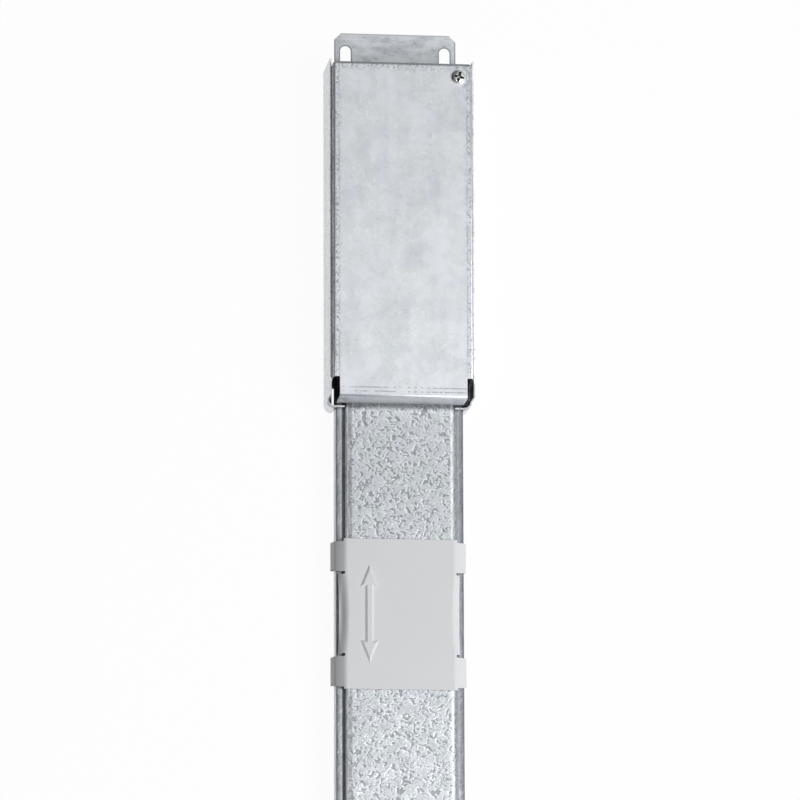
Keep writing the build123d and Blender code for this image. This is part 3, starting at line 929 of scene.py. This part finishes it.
@dataclass(frozen=True)
class TraySheet(ZincSheet):
    """The tray's sheet: paler walls, mottled and rubbed on its tab, dirty at the tab's edges and slots, and with
    painted shade on its near end.
    """

    pale: Colour = (0.90, 0.925, 0.96)
    violet: Colour = (0.86, 0.875, 0.905)
    green: Colour = (0.87, 0.89, 0.895)
    metal: float = 0.85
    mottling: float = 0.2
    floor_height: Ramp = Ramp(1.4, 1.7, 1.0, 0.0)
    smears: Pattern = Pattern(6.0, rough=0.65, stretch=(0.45, 1.0, 1.0))
    smear_shade: Ramp = Ramp(0.34, 0.62, 0.5, 0.26)
    spots: Pattern = Pattern(1.3, detail=2.5, rough=0.6, stretch=(0.3, 1.0, 1.0))
    spot_shade: Ramp = Ramp(0.38, 0.48, 0.7, 0.0)
    spotted: Ramp = Ramp(0.4, 0.56, 1.0, 0.35)
    speck: Flat = (-24.0, 727.0)
    speck_shade: Ramp = Ramp(0.8, 1.6, 0.75, 0.0)
    tab_half: float = 45.0
    tab_side_shade: Ramp = Ramp(0.7, 1.9, 0.7, 0.0)
    tab_end: float = 735.5
    tab_end_shade: Ramp = Ramp(-1.7, -0.6, 0.0, 0.55)
    slot: Flat = (36.7, 718.0)
    slot_half: float = 4.0
    slot_shade: Ramp = Ramp(0.6, 1.5, 0.8, 0.0)
    wall_height: Ramp = Ramp(3.0, 4.0)
    wall_grains: Pattern = Pattern(1.8, detail=2.0, rough=0.6, bend=0.8)
    wall_grain_shade: Ramp = Ramp(0.36, 0.46, 0.5, 0.0)
    outside: float = 53.0
    inner_faces: Ramp = Ramp(-0.25, -0.1, 1.0, 0.0)
    near_wall_shade: Ramp = Ramp(464.0, 467.0, 1.0, 0.0)
    near_wall_shade_height: Ramp = Ramp(19.0, 21.0, 0.0, 0.62)

    def punched(self, graph: Graph, outward: Socket, along: Socket) -> Socket:
        """Gives the dark rims of the two punched slots.

        Args:
            graph: Graph of the material.
            outward: Distance from the tab's middle line.
            along: Place along the track.

        Returns:
            Their share of stain.
        """
        beside = graph.less(outward, self.slot[0])
        beyond = graph.maths(Maths.MAXIMUM, graph.less(along, self.slot[1] + self.slot_half), 0.0)
        return graph.ramp(graph.span(beside, beyond), self.slot_shade.at(self.slot_half))

    def tab(self, graph: Graph, outward: Socket, along: Socket) -> Socket:
        """Gives smears, spots and dirty edges of the floor and the tab.

        Args:
            graph: Graph of the material.
            outward: Distance from the tab's middle line.
            along: Place along the track.

        Returns:
            Their share of stain.
        """
        smears = graph.noise(self.smears)
        spots = graph.ramp(graph.noise(self.spots), self.spot_shade)
        off_speck = graph.vector(Vectors.DISTANCE, graph.place(), (*self.speck, 0.0))
        return graph.any_of(
            graph.ramp(smears, self.smear_shade),
            graph.both(spots, graph.ramp(smears, self.spotted)),
            graph.ramp(off_speck, self.speck_shade),
            graph.ramp(graph.less(self.tab_half, outward), self.tab_side_shade),
            graph.ramp(along, self.tab_end_shade.at(self.tab_end)),
            self.punched(graph, outward, along),
        )

    def marks_and_shade(self, graph: Graph) -> Socket:
        """Gives the share of stain for the tab and the walls, and of painted shade on the upper part of the near end.

        Args:
            graph: Graph of the material.

        Returns:
            The share's socket.
        """
        across, along, height = graph.axes()
        outward = graph.maths(Maths.ABSOLUTE, across)
        grains = graph.ramp(graph.noise(self.wall_grains), self.wall_grain_shade)
        return graph.any_of(
            graph.both(graph.ramp(height, self.floor_height), self.tab(graph, outward, along)),
            graph.both(graph.ramp(height, self.wall_height), grains),
            # Painted shade on the upper part of the tray's near end, except the side walls' outer faces.
            graph.both(
                graph.ramp(height, self.near_wall_shade_height),
                graph.ramp(along, self.near_wall_shade),
                graph.ramp(outward, self.inner_faces.at(self.outside)),
            ),
        )


@dataclass(frozen=True)
class BrightZinc(Finish):
    """Bright zinc plate of the screws and the nut."""

    name: str = "bright_zinc"
    pale: Colour = (0.88, 0.88, 0.87)
    dull: Colour = (0.50, 0.52, 0.54)
    grime: Colour = (0.03, 0.03, 0.035)
    metal: float = 0.9
    uneven: Pattern = Pattern(1.3)
    dullness: Ramp = Ramp(0.35, 0.6, 0.7, 0.0)
    gloss: Ramp = Ramp(0.35, 0.65, 0.18, 0.34)
    pitting: Pattern = Pattern(0.35)
    pit_depth: float = 0.01
    shadow_specular: float = 0.4

    def dirt(self, graph: Graph) -> Optional[Socket]:
        """Gives the share of painted shade, or None for a piece without any."""
        return None

    def paint(self, graph: Graph, surface: bpy.types.Node) -> None:
        """Feeds a slightly uneven plating to the shader.

        Args:
            graph: Graph of the material.
            surface: Its Principled shader.
        """
        uneven = graph.noise(self.uneven)
        colour = graph.mix(graph.ramp(uneven, self.dullness), self.pale, self.dull)
        dirt = self.dirt(graph)
        if dirt is not None:
            # Painted shade, where the piece has any, in the shadow colour.
            colour = graph.mix(dirt, colour, self.grime)
            surface.inputs["Specular IOR Level"].default_value = self.shadow_specular
        graph.feed(surface.inputs["Base Color"], colour)
        surface.inputs["Metallic"].default_value = self.metal
        graph.feed(surface.inputs["Roughness"], graph.ramp(uneven, self.gloss))
        graph.feed(surface.inputs["Normal"], graph.bump(graph.noise(self.pitting), self.pit_depth))


@dataclass(frozen=True)
class ScrewHeadZinc(BrightZinc):
    """Bright zinc of the lid screw, with painted shade in its cross recess and a painted shadow round the left of its
    head.
    """

    axis: Flat = (41.0, 692.0)
    recess_height: Ramp = Ramp(52.15, 52.5, 1.0, 0.0)
    recess_edge: Ramp = Ramp(4.0, 4.3, 1.0, 0.0)
    recess_floor: Ramp = Ramp(0.8, 1.3, 0.5, 1.0)
    rim: float = 5.0
    rim_width: Flat = (0.3, 0.3)
    rim_side: Ramp = Ramp(0.0, 4.0)

    def dirt(self, graph: Graph) -> Optional[Socket]:
        """Gives the share of painted shade: all of it deep in the recess, and a painted shadow line round the left of
        the head.

        Args:
            graph: Graph of the material.

        Returns:
            The share's socket.
        """
        across, along, height = graph.axes()
        x, y = graph.less(across, self.axis[0]), graph.less(along, self.axis[1])
        reach = graph.span(x, y)
        # Painted shade deep in the cross recess, standing in for occlusion.
        floor = graph.both(graph.ramp(reach, self.recess_edge), graph.ramp(reach, self.recess_floor))
        recess = graph.both(floor, graph.ramp(height, self.recess_height))
        # Painted shadow crescent round the upper left of the head's rim.
        rim = graph.both(graph.band(reach, self.rim, *self.rim_width), graph.ramp(graph.less(y, x), self.rim_side))
        return graph.any_of(recess, rim)


@dataclass(frozen=True)
class Moulding(Finish):
    """Injection-moulded or extruded plastic with a fine satin grain and rubbed edges."""

    name: str = "cover_plastic"
    colour: Colour = (0.725, 0.735, 0.745)
    cast: Colour = (0.715, 0.727, 0.743)
    worn: Colour = (0.78, 0.79, 0.795)
    roughness: float = 0.42
    roughness_spread: Flat = (-0.05, 0.06)
    clouds: Pattern = Pattern(22.0, detail=2.0)
    cast_share: Ramp = Ramp(0.35, 0.65)
    grain: Pattern = Pattern(0.35, detail=2.0, rough=0.6)
    grain_span: Flat = (0.3, 0.7)
    grain_depth: float = 0.006
    edge_reach: float = 0.35
    edge_edge_light_breakup: Ramp = Ramp(0.98, 0.75, 0.0, 0.5)

    def paint(self, graph: Graph, surface: bpy.types.Node) -> None:
        """Feeds the plastic's tint, grain and rubbed edges to the shader.

        Args:
            graph: Graph of the material.
            surface: Its Principled shader.
        """
        colour = graph.mix(graph.ramp(graph.noise(self.clouds), self.cast_share), self.colour, self.cast)
        colour = graph.mix(graph.ramp(graph.edges(self.edge_reach), self.edge_edge_light_breakup), colour, self.worn)
        graph.feed(surface.inputs["Base Color"], colour)
        grain = graph.noise(self.grain)
        low, high = (self.roughness + off for off in self.roughness_spread)
        graph.feed(surface.inputs["Roughness"], graph.ramp(grain, Ramp(*self.grain_span, low, high)))
        graph.feed(surface.inputs["Normal"], graph.bump(grain, self.grain_depth))


@dataclass(frozen=True)
class DrawnCopper(Finish):
    """Drawn copper bar with lengthwise lines and a little tarnish."""

    name: str = "copper"
    fresh: Colour = (0.83, 0.46, 0.30)
    dark: Colour = (0.52, 0.26, 0.17)
    tarnish: Pattern = Pattern(9.0, detail=4.0)
    tarnish_share: Ramp = Ramp(0.42, 0.68, 0.0, 0.8)
    lines: Pattern = Pattern(0.4, stretch=(1.0, 0.01, 1.0))
    gloss: Ramp = Ramp(0.3, 0.7, 0.22, 0.42)
    line_depth: float = 0.01

    def paint(self, graph: Graph, surface: bpy.types.Node) -> None:
        """Feeds draw lines and tarnish to the shader.

        Args:
            graph: Graph of the material.
            surface: Its Principled shader.
        """
        tarnish = graph.ramp(graph.noise(self.tarnish), self.tarnish_share)
        graph.feed(surface.inputs["Base Color"], graph.mix(tarnish, self.fresh, self.dark))
        surface.inputs["Metallic"].default_value = 1.0
        lines = graph.noise(self.lines)
        graph.feed(surface.inputs["Roughness"], graph.ramp(lines, self.gloss))
        graph.feed(surface.inputs["Normal"], graph.bump(lines, self.line_depth))


@dataclass
class SubAssembly:
    """Pieces of the part that belong together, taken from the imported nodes."""

    frame: Dict[str, Any]
    edge: float = 0.12
    edge_angle: float = 0.7
    weld: float = 0.002

    def node(self, name: str) -> bpy.types.Object:
        """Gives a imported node's object."""
        return self.frame["nodes"][name]

    def dress(self, piece: bpy.types.Object, finish: Finish) -> bpy.types.Object:
        """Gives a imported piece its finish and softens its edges.

        Args:
            piece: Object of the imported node.
            finish: Finish for all its faces.

        Returns:
            The same object.
        """
        piece.data.materials.clear()
        piece.data.materials.append(finish.material())
        weld = piece.modifiers.new("weld", "WELD")
        weld.merge_threshold = self.weld * MM
        self.soften(piece, self.edge, self.edge_angle)
        return piece

    @staticmethod
    def soften(piece: bpy.types.Object, width: float, angle: float) -> None:
        """Rounds a piece's sharp edges.

        Args:
            piece: Object to change.
            width: Width of the rounding in millimetres.
            angle: Smallest angle of an edge that is rounded, in radians.
        """
        bevel = piece.modifiers.new("edge", "BEVEL")
        bevel.width = width * MM
        bevel.segments = 2
        bevel.limit_method = "ANGLE"
        bevel.angle_limit = angle
        bevel.use_clamp_overlap = True
        bevel.harden_normals = True

    def swap(self, piece: bpy.types.Object, node: str, body: str, finish: Finish) -> bpy.types.Object:
        """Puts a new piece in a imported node's place.

        Args:
            piece: New object.
            node: Name of the node that it replaces.
            body: Body that it rides on.
            finish: Finish for all its faces.

        Returns:
            The same object.
        """
        piece.data.materials.append(finish.material())
        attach(piece, body)
        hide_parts(node)
        return piece

    def build(self) -> List[bpy.types.Object]:
        """Builds and dresses the pieces.

        Returns:
            Their objects.
        """
        raise NotImplementedError


@dataclass
class LidScrew(SubAssembly):
    """Pan-head machine screw with a cross recess that holds the lid down. Heights count from the lid's top."""

    axis: Flat = (41.0, 692.0)
    seat: float = 50.0
    profile: Tuple[Flat, ...] = ((0.0, 3.0), (1.2, 3.0), (2.8, 2.9), (3.8, 2.65), (4.5, 2.2), (4.85, 1.6), (5.0, 0.9))
    rings: int = 56
    spokes: int = 112
    arm_length: float = 3.75
    arm_width: float = 1.8
    arm_rise: float = 0.3
    arm_narrowing: float = 0.2
    recess_depth: float = 1.7
    recess_wall: Flat = (0.05, 0.22)
    recess_turn: float = -14.0
    head_edge: float = 0.25
    head_chamfer: float = 0.2
    shank_radius: float = 2.3
    shank_length: float = 12.0
    tip_chamfer: float = 0.5
    thread_start: float = 1.0
    thread_depth: float = 0.22
    pitch: float = 0.8
    rings_per_turn: int = 5

    def crown(self, reach: float) -> float:
        """Gives the height of the head's outline.

        Args:
            reach: Distance from the axis.

        Returns:
            The height above the seat.
        """
        for (r0, z0), (r1, z1) in zip(self.profile, self.profile[1:]):
            if reach <= r1:
                return z0 + (z1 - z0) * (reach - r0) / (r1 - r0)
        return self.profile[-1][1]

    def recess(self, x: float, y: float) -> float:
        """Gives the recess's depth at a place on the head.

        Args:
            x: Place across, from the axis.
            y: Place along, from the axis.

        Returns:
            The depth, 0 outside the cross.
        """
        turn = math.radians(self.recess_turn)
        a, b = x * math.cos(turn) + y * math.sin(turn), y * math.cos(turn) - x * math.sin(turn)
        taper = 1.0 - self.arm_rise * (max(abs(a), abs(b)) / self.arm_length) ** 2
        half = self.arm_width / 2 * (1.0 - self.arm_narrowing * (1.0 - taper))
        inside = max(min(half - abs(a), self.arm_length - abs(b)), min(half - abs(b), self.arm_length - abs(a)))
        outside, width = self.recess_wall
        share = min(1.0, max(0.0, (inside + outside) / width))
        return self.recess_depth * taper * share

    def row(self, height: Callable[[float], Tuple[float, float]]) -> List[Point]:
        """Makes one ring of points.

        Args:
            height: Gives the radius and the height at an angle.

        Returns:
            The ring, clockwise as seen from above.
        """
        ring = []
        for spoke in range(self.spokes):
            angle = -2 * math.pi * spoke / self.spokes
            reach, z = height(angle)
            x, y = reach * math.cos(angle), reach * math.sin(angle)
            ring.append((self.axis[0] + x, self.axis[1] + y, self.seat + z))
        return ring

    def head_point(self, reach: float, angle: float) -> Tuple[float, float]:
        """Gives a point of the head's top.

        Args:
            reach: Distance from the axis.
            angle: Angle round it.

        Returns:
            The distance again, and the height.
        """
        deep = self.recess(reach * math.cos(angle), reach * math.sin(angle))
        return reach, self.crown(reach) - deep

    def thread_point(self, depth: float, angle: float) -> Tuple[float, float]:
        """Gives a point of the threaded shank.

        Args:
            depth: Distance below the seat.
            angle: Angle round the axis.

        Returns:
            The distance from the axis, and the height.
        """
        turn = (depth / self.pitch + angle / (2 * math.pi)) % 1.0
        run_in = min(1.0, max(0.0, (depth - self.thread_start) / self.pitch))
        run_out = run_in * min(1.0, (self.shank_length - depth) / self.pitch)
        return self.shank_radius - self.thread_depth * abs(2 * turn - 1) * run_out, -depth

    def build(self) -> List[bpy.types.Object]:
        """Builds the screw as one turned skin with its recess and thread.

        Returns:
            The screw alone, in a list.
        """
        outer = self.profile[-1][0]
        rows = []
        for ring in range(self.rings + 1):
            reach = outer * math.sin(math.pi / 2 * ring / self.rings)
            rows.append(self.row(lambda angle, r=reach: self.head_point(r, angle)))
        for reach, z in ((outer, self.head_edge), (outer - self.head_chamfer, 0.0), (self.shank_radius, 0.0)):
            rows.append(self.row(lambda angle, r=reach, h=z: (r, h)))
        steps = round(self.shank_length / self.pitch * self.rings_per_turn)
        for step in range(1, steps):
            depth = self.shank_length * step / steps
            rows.append(self.row(lambda angle, d=depth: self.thread_point(d, angle)))
        for reach in (self.shank_radius - self.tip_chamfer, 0.0):
            rows.append(self.row(lambda angle, r=reach: (r, -self.shank_length)))
        draft = Draft()
        draft.grid(rows, closed=True)
        return [self.swap(draft.piece("screw_turned"), "lid_screw", "track", ScrewHeadZinc(axis=self.axis))]


@dataclass
class FeedBox(SubAssembly):
    """Feed box: folded tray with its slotted tab, entry plate, terminals, and the lid with its screw."""

    near: float = 452.5
    far: float = 702.5
    half_width: float = 51.5
    screw: Flat = (41.0, 692.0)

    def build_tray(self) -> List[bpy.types.Object]:
        """Dresses the folded tray and the plate that closes its far end."""
        return [self.dress(self.node(name), TraySheet()) for name in ("feed_tray", "cable_entry_plate")]

    def build_lid(self) -> List[bpy.types.Object]:
        """Dresses the folded lid."""
        finish = LidSheet(near=self.near, far=self.far, half=self.half_width, screw=self.screw)
        return [self.dress(self.node("lid"), finish)]

    def build_fasteners(self) -> List[bpy.types.Object]:
        """Builds the lid screw and dresses the nut and the terminals' screws."""
        nuts = [self.dress(self.node(name), BrightZinc()) for name in ("clinch_nut", "terminal_screws")]
        return nuts + LidScrew(self.frame, axis=self.screw).build()

    def build_terminals(self) -> List[bpy.types.Object]:
        """Dresses the terminal block.

        Returns:
            The block alone, in a list.
        """
        ivory, cast, worn = (0.74, 0.72, 0.64), (0.70, 0.69, 0.63), (0.82, 0.81, 0.76)
        finish = Moulding("terminal_plastic", ivory, cast, worn, roughness=0.38)
        return [self.dress(self.node("terminal_block"), finish)]

    def build(self) -> List[bpy.types.Object]:
        """Builds the whole box."""
        return self.build_tray() + self.build_lid() + self.build_fasteners() + self.build_terminals()


@dataclass
class TrackRun(SubAssembly):
    """Length of track: galvanised casing round a carrier with its busbars, and the cap at its far end."""

    busbars: int = 3

    def build_casing(self) -> List[bpy.types.Object]:
        """Dresses the folded channel and the crowned top."""
        return [self.dress(self.node(name), GalvanisedSheet()) for name in ("track_base_channel", "track_top_cover")]

    def build_conductors(self) -> List[bpy.types.Object]:
        """Dresses the carrier and its copper bars.

        Returns:
            The carrier and the bars.
        """
        grey, cast, worn = (0.34, 0.35, 0.37), (0.31, 0.32, 0.35), (0.45, 0.46, 0.48)
        carrier = Moulding("carrier_plastic", grey, cast, worn, roughness=0.46)
        bars = [self.dress(self.node(f"busbar_{n}"), DrawnCopper()) for n in range(1, self.busbars + 1)]
        return [self.dress(self.node("conductor_carrier"), carrier), *bars]

    def build_cap(self) -> List[bpy.types.Object]:
        """Dresses the end cap."""
        return [self.dress(self.node("end_cap"), Moulding())]

    def build(self) -> List[bpy.types.Object]:
        """Builds the whole run."""
        return self.build_casing() + self.build_conductors() + self.build_cap()


@dataclass
class Outlet(SubAssembly):
    """One outlet: the insert in the casing's window and the sprung cover that slides over it.

    The cover's sizes count from the track's middle, and from the outlet's own middle along it. Rows are the places
    along half of it that get a row of points; those of a clip's edges count inwards from them.
    """

    number: int = 1
    middle: float = 297.5
    top: float = 28.15
    half_length: float = 55.0
    plate_half: float = 41.4
    plate_bend: float = 35.6
    plate_columns: Tuple[float, ...] = (-24.0, -12.0, 0.0, 12.0, 24.0)
    plate_steps: int = 16
    lean: float = 0.095
    flat_half: float = 38.6
    flat_waist: float = 1.4
    lean_waist: float = 0.03
    clip_span: Flat = (31.0, 53.2)
    clip_taper: float = 1.1
    clip_lean: float = 1.7
    clip_root: float = 26.4
    clip_drop: float = 12.0
    clip_steps: int = 4
    flank_half: float = 29.0
    slit_radius: float = 1.0
    slit_steps: int = 12
    middle_rows: Tuple[float, ...] = (0.0, 4.0, 8.0, 12.0, 16.0, 20.0, 23.5, 26.0, 27.4, 28.1)
    clip_rows: Tuple[float, ...] = (38.0, 42.2, 46.4)
    clip_edge_rows: Tuple[float, ...] = (0.5, 1.2, 2.6)
    end_rows: Tuple[float, ...] = (53.8, 54.5)
    row_slack: float = 0.01
    clip: Tuple[Flat, ...] = (
        (41.4, 27.4), (43.4, 26.15), (45.2, 24.85), (46.6, 23.7), (47.45, 22.7), (47.95, 21.4), (48.3, 19.6),
        (48.75, 17.2), (49.25, 14.3), (49.45, 11.6), (49.05, 9.45), (48.4, 9.0), (47.2, 9.3), (46.4, 10.4),
    )
    flank_reach: Flat = (44.5, 42.9)
    flank_spread: float = 0.5
    flank_lip: Tuple[float, ...] = (24.2, 23.6, 22.4)
    flank_foot: float = 0.12
    flank_steps: int = 6
    slope_step: float = 0.1
    wall: float = 0.8
    merge: float = 0.05
    rounding: float = 0.25
    rounding_angle: float = 0.45
    arrow_middle: float = -22.8
    arrow_tip: float = 36.6
    arrow_head: Flat = (6.85, 17.0)
    arrow_shaft: float = 3.25
    arrow_top: float = 29.15
    arrow_inset: float = 1.7
    arrow_sunk: float = 0.15

    def plate_height(self, x: float, u: float) -> float:
        """Gives the plate's height, which falls away beyond its flat middle.

        Args:
            x: Place across.
            u: Place along, from the outlet's middle.

        Returns:
            The height.
        """
        waist = max(0.0, 1 - (u / self.flank_half) ** 2)
        flat = self.flat_half - self.flat_waist * waist
        return self.top - (self.lean + self.lean_waist * waist) * max(0.0, abs(x) - flat) ** 2

    def plate_edge(self, u: float) -> float:
        """Gives how far out the plate reaches, less where a round slit ends."""
        off = (abs(u) - (self.flank_half + self.clip_span[0]) / 2) / self.slit_radius
        return self.plate_half - self.slit_radius * math.sqrt(max(0.0, 1 - off * off))

    def stations(self) -> List[float]:
        """Works out where along the cover its rows of points are.

        Returns:
            The places, from one end to the other.
        """
        near, far = self.clip_span
        slit, turn = (self.flank_half + near) / 2, math.pi / self.slit_steps
        half = list(self.middle_rows)
        half += [slit - self.slit_radius * math.cos(turn * n) for n in range(self.slit_steps + 1)]
        half += [near + off for off in self.clip_edge_rows]
        half += self.clip_rows
        half += [far - off for off in self.clip_edge_rows[::-1]]
        half += [far, *self.end_rows, self.half_length]
        return [-u for u in half[:0:-1]] + half

    def plate(self, draft: Draft) -> None:
        """Adds the plate between the clips and the flanks.

        Args:
            draft: Draft of the cover.
        """
        rows, start, steps = [], self.plate_bend, self.plate_steps
        for u in self.stations():
            edge = self.plate_edge(u)
            side = [start + (edge - start) * n / steps for n in range(steps + 1)]
            across = [-x for x in side[::-1]] + [*self.plate_columns] + side
            rows.append([(x, self.middle + u, self.plate_height(x, u)) for x in across])
        draft.grid(rows)

    def clip_place(self, u: float, z: float) -> float:
        """Gives the place along the track of a clip's point.

        Args:
            u: Place along at the clip's root, from the outlet's middle.
            z: Height of the point.

        Returns:
            The place, a little nearer the clip's middle lower down.
        """
        near, far = self.clip_span
        depth = min(1.0, max(0.0, (self.clip_root - z) / self.clip_drop))
        centre = math.copysign((near + far) / 2, u)
        return self.middle + u + depth * (self.clip_lean - self.clip_taper * (u - centre) * 2 / (far - near))

    def clips(self, draft: Draft) -> None:
        """Adds the four sprung clips, each a smooth strip that ends in a hook.

        Args:
            draft: Draft of the cover.
        """
        curve = curve_through(self.clip, self.clip_steps)
        near, far = self.clip_span
        spans = [u for u in self.stations() if near - self.row_slack <= abs(u) <= far + self.row_slack]
        for end in (-1, 1):
            run = [u for u in spans if u * end > 0]
            draft.grid([[(-x, self.clip_place(u, z), z) for x, z in curve[::-1]] for u in run])
            draft.grid([[(x, self.clip_place(u, z), z) for x, z in curve] for u in run])

    def flanks(self, draft: Draft) -> None:
        """Adds the bowed flank between the clips on either side.

        Args:
            draft: Draft of the cover.
        """
        steps = self.flank_steps
        run = [u for u in self.stations() if abs(u) <= self.flank_half + self.row_slack]
        for side, edge in zip((-1, 1), self.flank_reach):
            rows = []
            for u in run:
                start = self.plate_height(self.plate_half, u)
                reach = edge + self.flank_spread * (u / self.flank_half) ** 2
                slope = (self.plate_height(self.plate_half - self.slope_step, u) - start) / self.slope_step
                wide, drop = reach - self.plate_half, start - self.flank_lip[0]
                row = []
                for n in range(steps + 1):
                    t = n / steps
                    fall = slope * wide * t + (drop - slope * wide) * t * t
                    row.append((side * (self.plate_half + wide * t), self.middle + u, start - fall))
                row += [(side * (reach + self.flank_foot), self.middle + u, z) for z in self.flank_lip[1:]]
                rows.append(row if side > 0 else row[::-1])
            draft.grid(rows)

    def arrow(self, draft: Draft) -> None:
        """Adds the raised double arrow that shows which way the cover slides.

        Args:
            draft: Draft of the arrow.
        """
        wide, long = self.arrow_head
        neck, shaft, tip = self.arrow_tip - long, self.arrow_shaft, self.arrow_tip
        half = [(0.0, tip), (-wide, neck), (-shaft, neck)]
        left = half + [(x, -u) for x, u in half[::-1]]
        outline = left + [(-x, u) for x, u in left[-2:0:-1]]
        height = self.arrow_top - self.top
        foot = inset(outline, -self.arrow_inset * self.arrow_sunk / height)
        crest = inset(outline, self.arrow_inset)
        low = [(self.arrow_middle + x, self.middle + u, self.top - self.arrow_sunk) for x, u in foot]
        high = [(self.arrow_middle + x, self.middle + u, self.arrow_top) for x, u in crest]
        draft.grid([low[::-1], high[::-1]], closed=True)
        draft.fan(high)

    def build_cover(self) -> bpy.types.Object:
        """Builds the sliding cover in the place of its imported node.

        Returns:
            The cover's object.
        """
        shell = Draft()
        self.plate(shell)
        self.clips(shell)
        self.flanks(shell)
        cover = shell.piece(f"cover_moulding_{self.number}", merge=self.merge, wall=self.wall)
        raised = Draft()
        self.arrow(raised)
        raised.join(cover)
        self.soften(cover, self.rounding, self.rounding_angle)
        return self.swap(cover, f"dust_cover_{self.number}", f"cover_{self.number}", Moulding())

    def build_insert(self) -> bpy.types.Object:
        """Dresses the insert under the cover.

        Returns:
            The insert's object.
        """
        black, cast, worn = (0.055, 0.058, 0.062), (0.045, 0.048, 0.055), (0.12, 0.12, 0.13)
        finish = Moulding("insert_plastic", black, cast, worn, roughness=0.5)
        return self.dress(self.node(f"outlet_insert_{self.number}"), finish)

    def build(self) -> List[bpy.types.Object]:
        """Builds the outlet."""
        return [self.build_insert(), self.build_cover()]


@dataclass
class Studio:
    """Pale floor, soft light and the photograph's camera, with sizes and places in metres."""

    floor_size: float = 14.0
    floor_height: float = -0.0002
    floor_colour: Colour = (0.85, 0.85, 0.85)
    floor_white: float = 0.96
    sky_dark: float = 0.03
    sky_bright: float = 0.8
    sky_share: float = 0.12
    sky_towards: Point = (0.75, -0.35, 0.55)
    sky_facing: Flat = (-0.15, 0.8)
    sky_colour: Colour = (0.97, 0.985, 1.0)
    key_energy: float = 71.0
    key_size: Flat = (1.2, 1.8)
    key_place: Point = (1.3, -0.3, 2.25)
    key_target: Point = (0.0, 0.4, 0.0)
    camera_place: Point = (-0.59373, -0.54193, 4.97923)
    camera_turn: Point = (0.19771, -0.11870, -0.00304)
    focal_pixels: float = 7000.0
    image_pixels: float = 800.0
    sensor: float = 36.0
    view_depth: float = 50.0

    def build(self) -> None:
        """Makes the floor, the world, the lamp and the camera."""
        self.floor()
        self.world()
        self.lamp()
        self.camera()
        bpy.context.scene.view_settings.view_transform = "Standard"

    def floor(self) -> None:
        """Makes the floor, which looks white and keeps the part's soft shadow."""
        half = self.floor_size / 2
        mesh = bpy.data.meshes.new("floor")
        mesh.from_pydata([(-half, -half, 0), (half, -half, 0), (half, half, 0), (-half, half, 0)], [], [(0, 1, 2, 3)])
        floor = bpy.data.objects.new("floor", mesh)
        floor.location.z = self.floor_height
        bpy.context.scene.collection.objects.link(floor)
        material = bpy.data.materials.new("pale_floor")
        material.use_nodes = True
        graph = Graph(material.node_tree)
        matt = graph.node("ShaderNodeBsdfDiffuse", {"Color": self.floor_colour})
        white = graph.node("ShaderNodeEmission", {"Color": WHITE, "Strength": 1.0})
        share = graph.both(self.seen(graph), self.floor_white)
        mixed = graph.node("ShaderNodeMixShader", {0: share, 1: matt.outputs[0], 2: white.outputs[0]})
        output = graph.node("ShaderNodeOutputMaterial")
        graph.feed(output.inputs["Surface"], mixed.outputs[0])
        mesh.materials.append(material)

    @staticmethod
    def seen(graph: Graph) -> Socket:
        """Gives 1 where the camera, a reflection or a clear view meets the surface.

        Args:
            graph: Graph of the floor's or the world's material.

        Returns:
            The share's socket.
        """
        rays = graph.node("ShaderNodeLightPath").outputs
        return graph.any_of(rays["Is Camera Ray"], rays["Is Glossy Ray"], rays["Is Transmission Ray"])

    def world(self) -> None:
        """Makes the sky: a pale dome, brighter overhead and on the right."""
        world = bpy.data.worlds.new("studio")
        world.use_nodes = True
        graph = Graph(world.node_tree)
        direction = graph.node("ShaderNodeTexCoord").outputs["Generated"]
        towards = tuple(Vector(self.sky_towards).normalized())
        facing = graph.vector(Vectors.DOT, direction, towards)
        glow = graph.ramp(facing, Ramp(*self.sky_facing, self.sky_dark, self.sky_bright))
        strength = graph.both(glow, graph.ramp(self.seen(graph), Ramp(0.0, 1.0, self.sky_share, 1.0)))
        light = graph.node("ShaderNodeBackground", {"Color": self.sky_colour, "Strength": strength})
        output = graph.node("ShaderNodeOutputWorld")
        graph.feed(output.inputs["Surface"], light.outputs[0])
        bpy.context.scene.world = world

    def lamp(self) -> None:
        """Hangs one large soft lamp on the right."""
        data = bpy.data.lights.new("key", "AREA")
        data.shape = "RECTANGLE"
        data.size, data.size_y = self.key_size
        data.energy = self.key_energy
        lamp = bpy.data.objects.new("key", data)
        lamp.location = self.key_place
        lamp.rotation_euler = (Vector(self.key_target) - lamp.location).to_track_quat("-Z", "Y").to_euler()
        bpy.context.scene.collection.objects.link(lamp)

    def camera(self) -> None:
        """Sets the camera where the photograph was taken from."""
        data = bpy.data.cameras.new("camera")
        data.sensor_width = self.sensor
        data.lens = self.focal_pixels / self.image_pixels * self.sensor
        data.clip_end = self.view_depth
        camera = bpy.data.objects.new("camera", data)
        camera.location = self.camera_place
        camera.rotation_euler = Euler(self.camera_turn, "XYZ")
        bpy.context.scene.collection.objects.link(camera)
        bpy.context.scene.camera = camera


def sub_assemblies(frame: Dict[str, Any]) -> List[SubAssembly]:
    """Lists the sub-assemblies in the order in which they are built.

    Args:
        frame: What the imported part's load gave.

    Returns:
        The sub-assemblies.
    """
    outlets = [Outlet(frame, number=n, middle=middle) for n, middle in enumerate(OUTLET_MIDDLES, 1)]
    return [FeedBox(frame), TrackRun(frame), *outlets]


def main() -> None:
    """Loads the part, builds its sub-assemblies and sets the studio."""
    logging.basicConfig(level=logging.INFO, format="%(message)s")
    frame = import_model()
    Studio().build()
    for group in sub_assemblies(frame):
        for piece in group.build():
            LOG.info("%s: %s", type(group).__name__, piece.name)


if __name__ == "__main__":
    main()
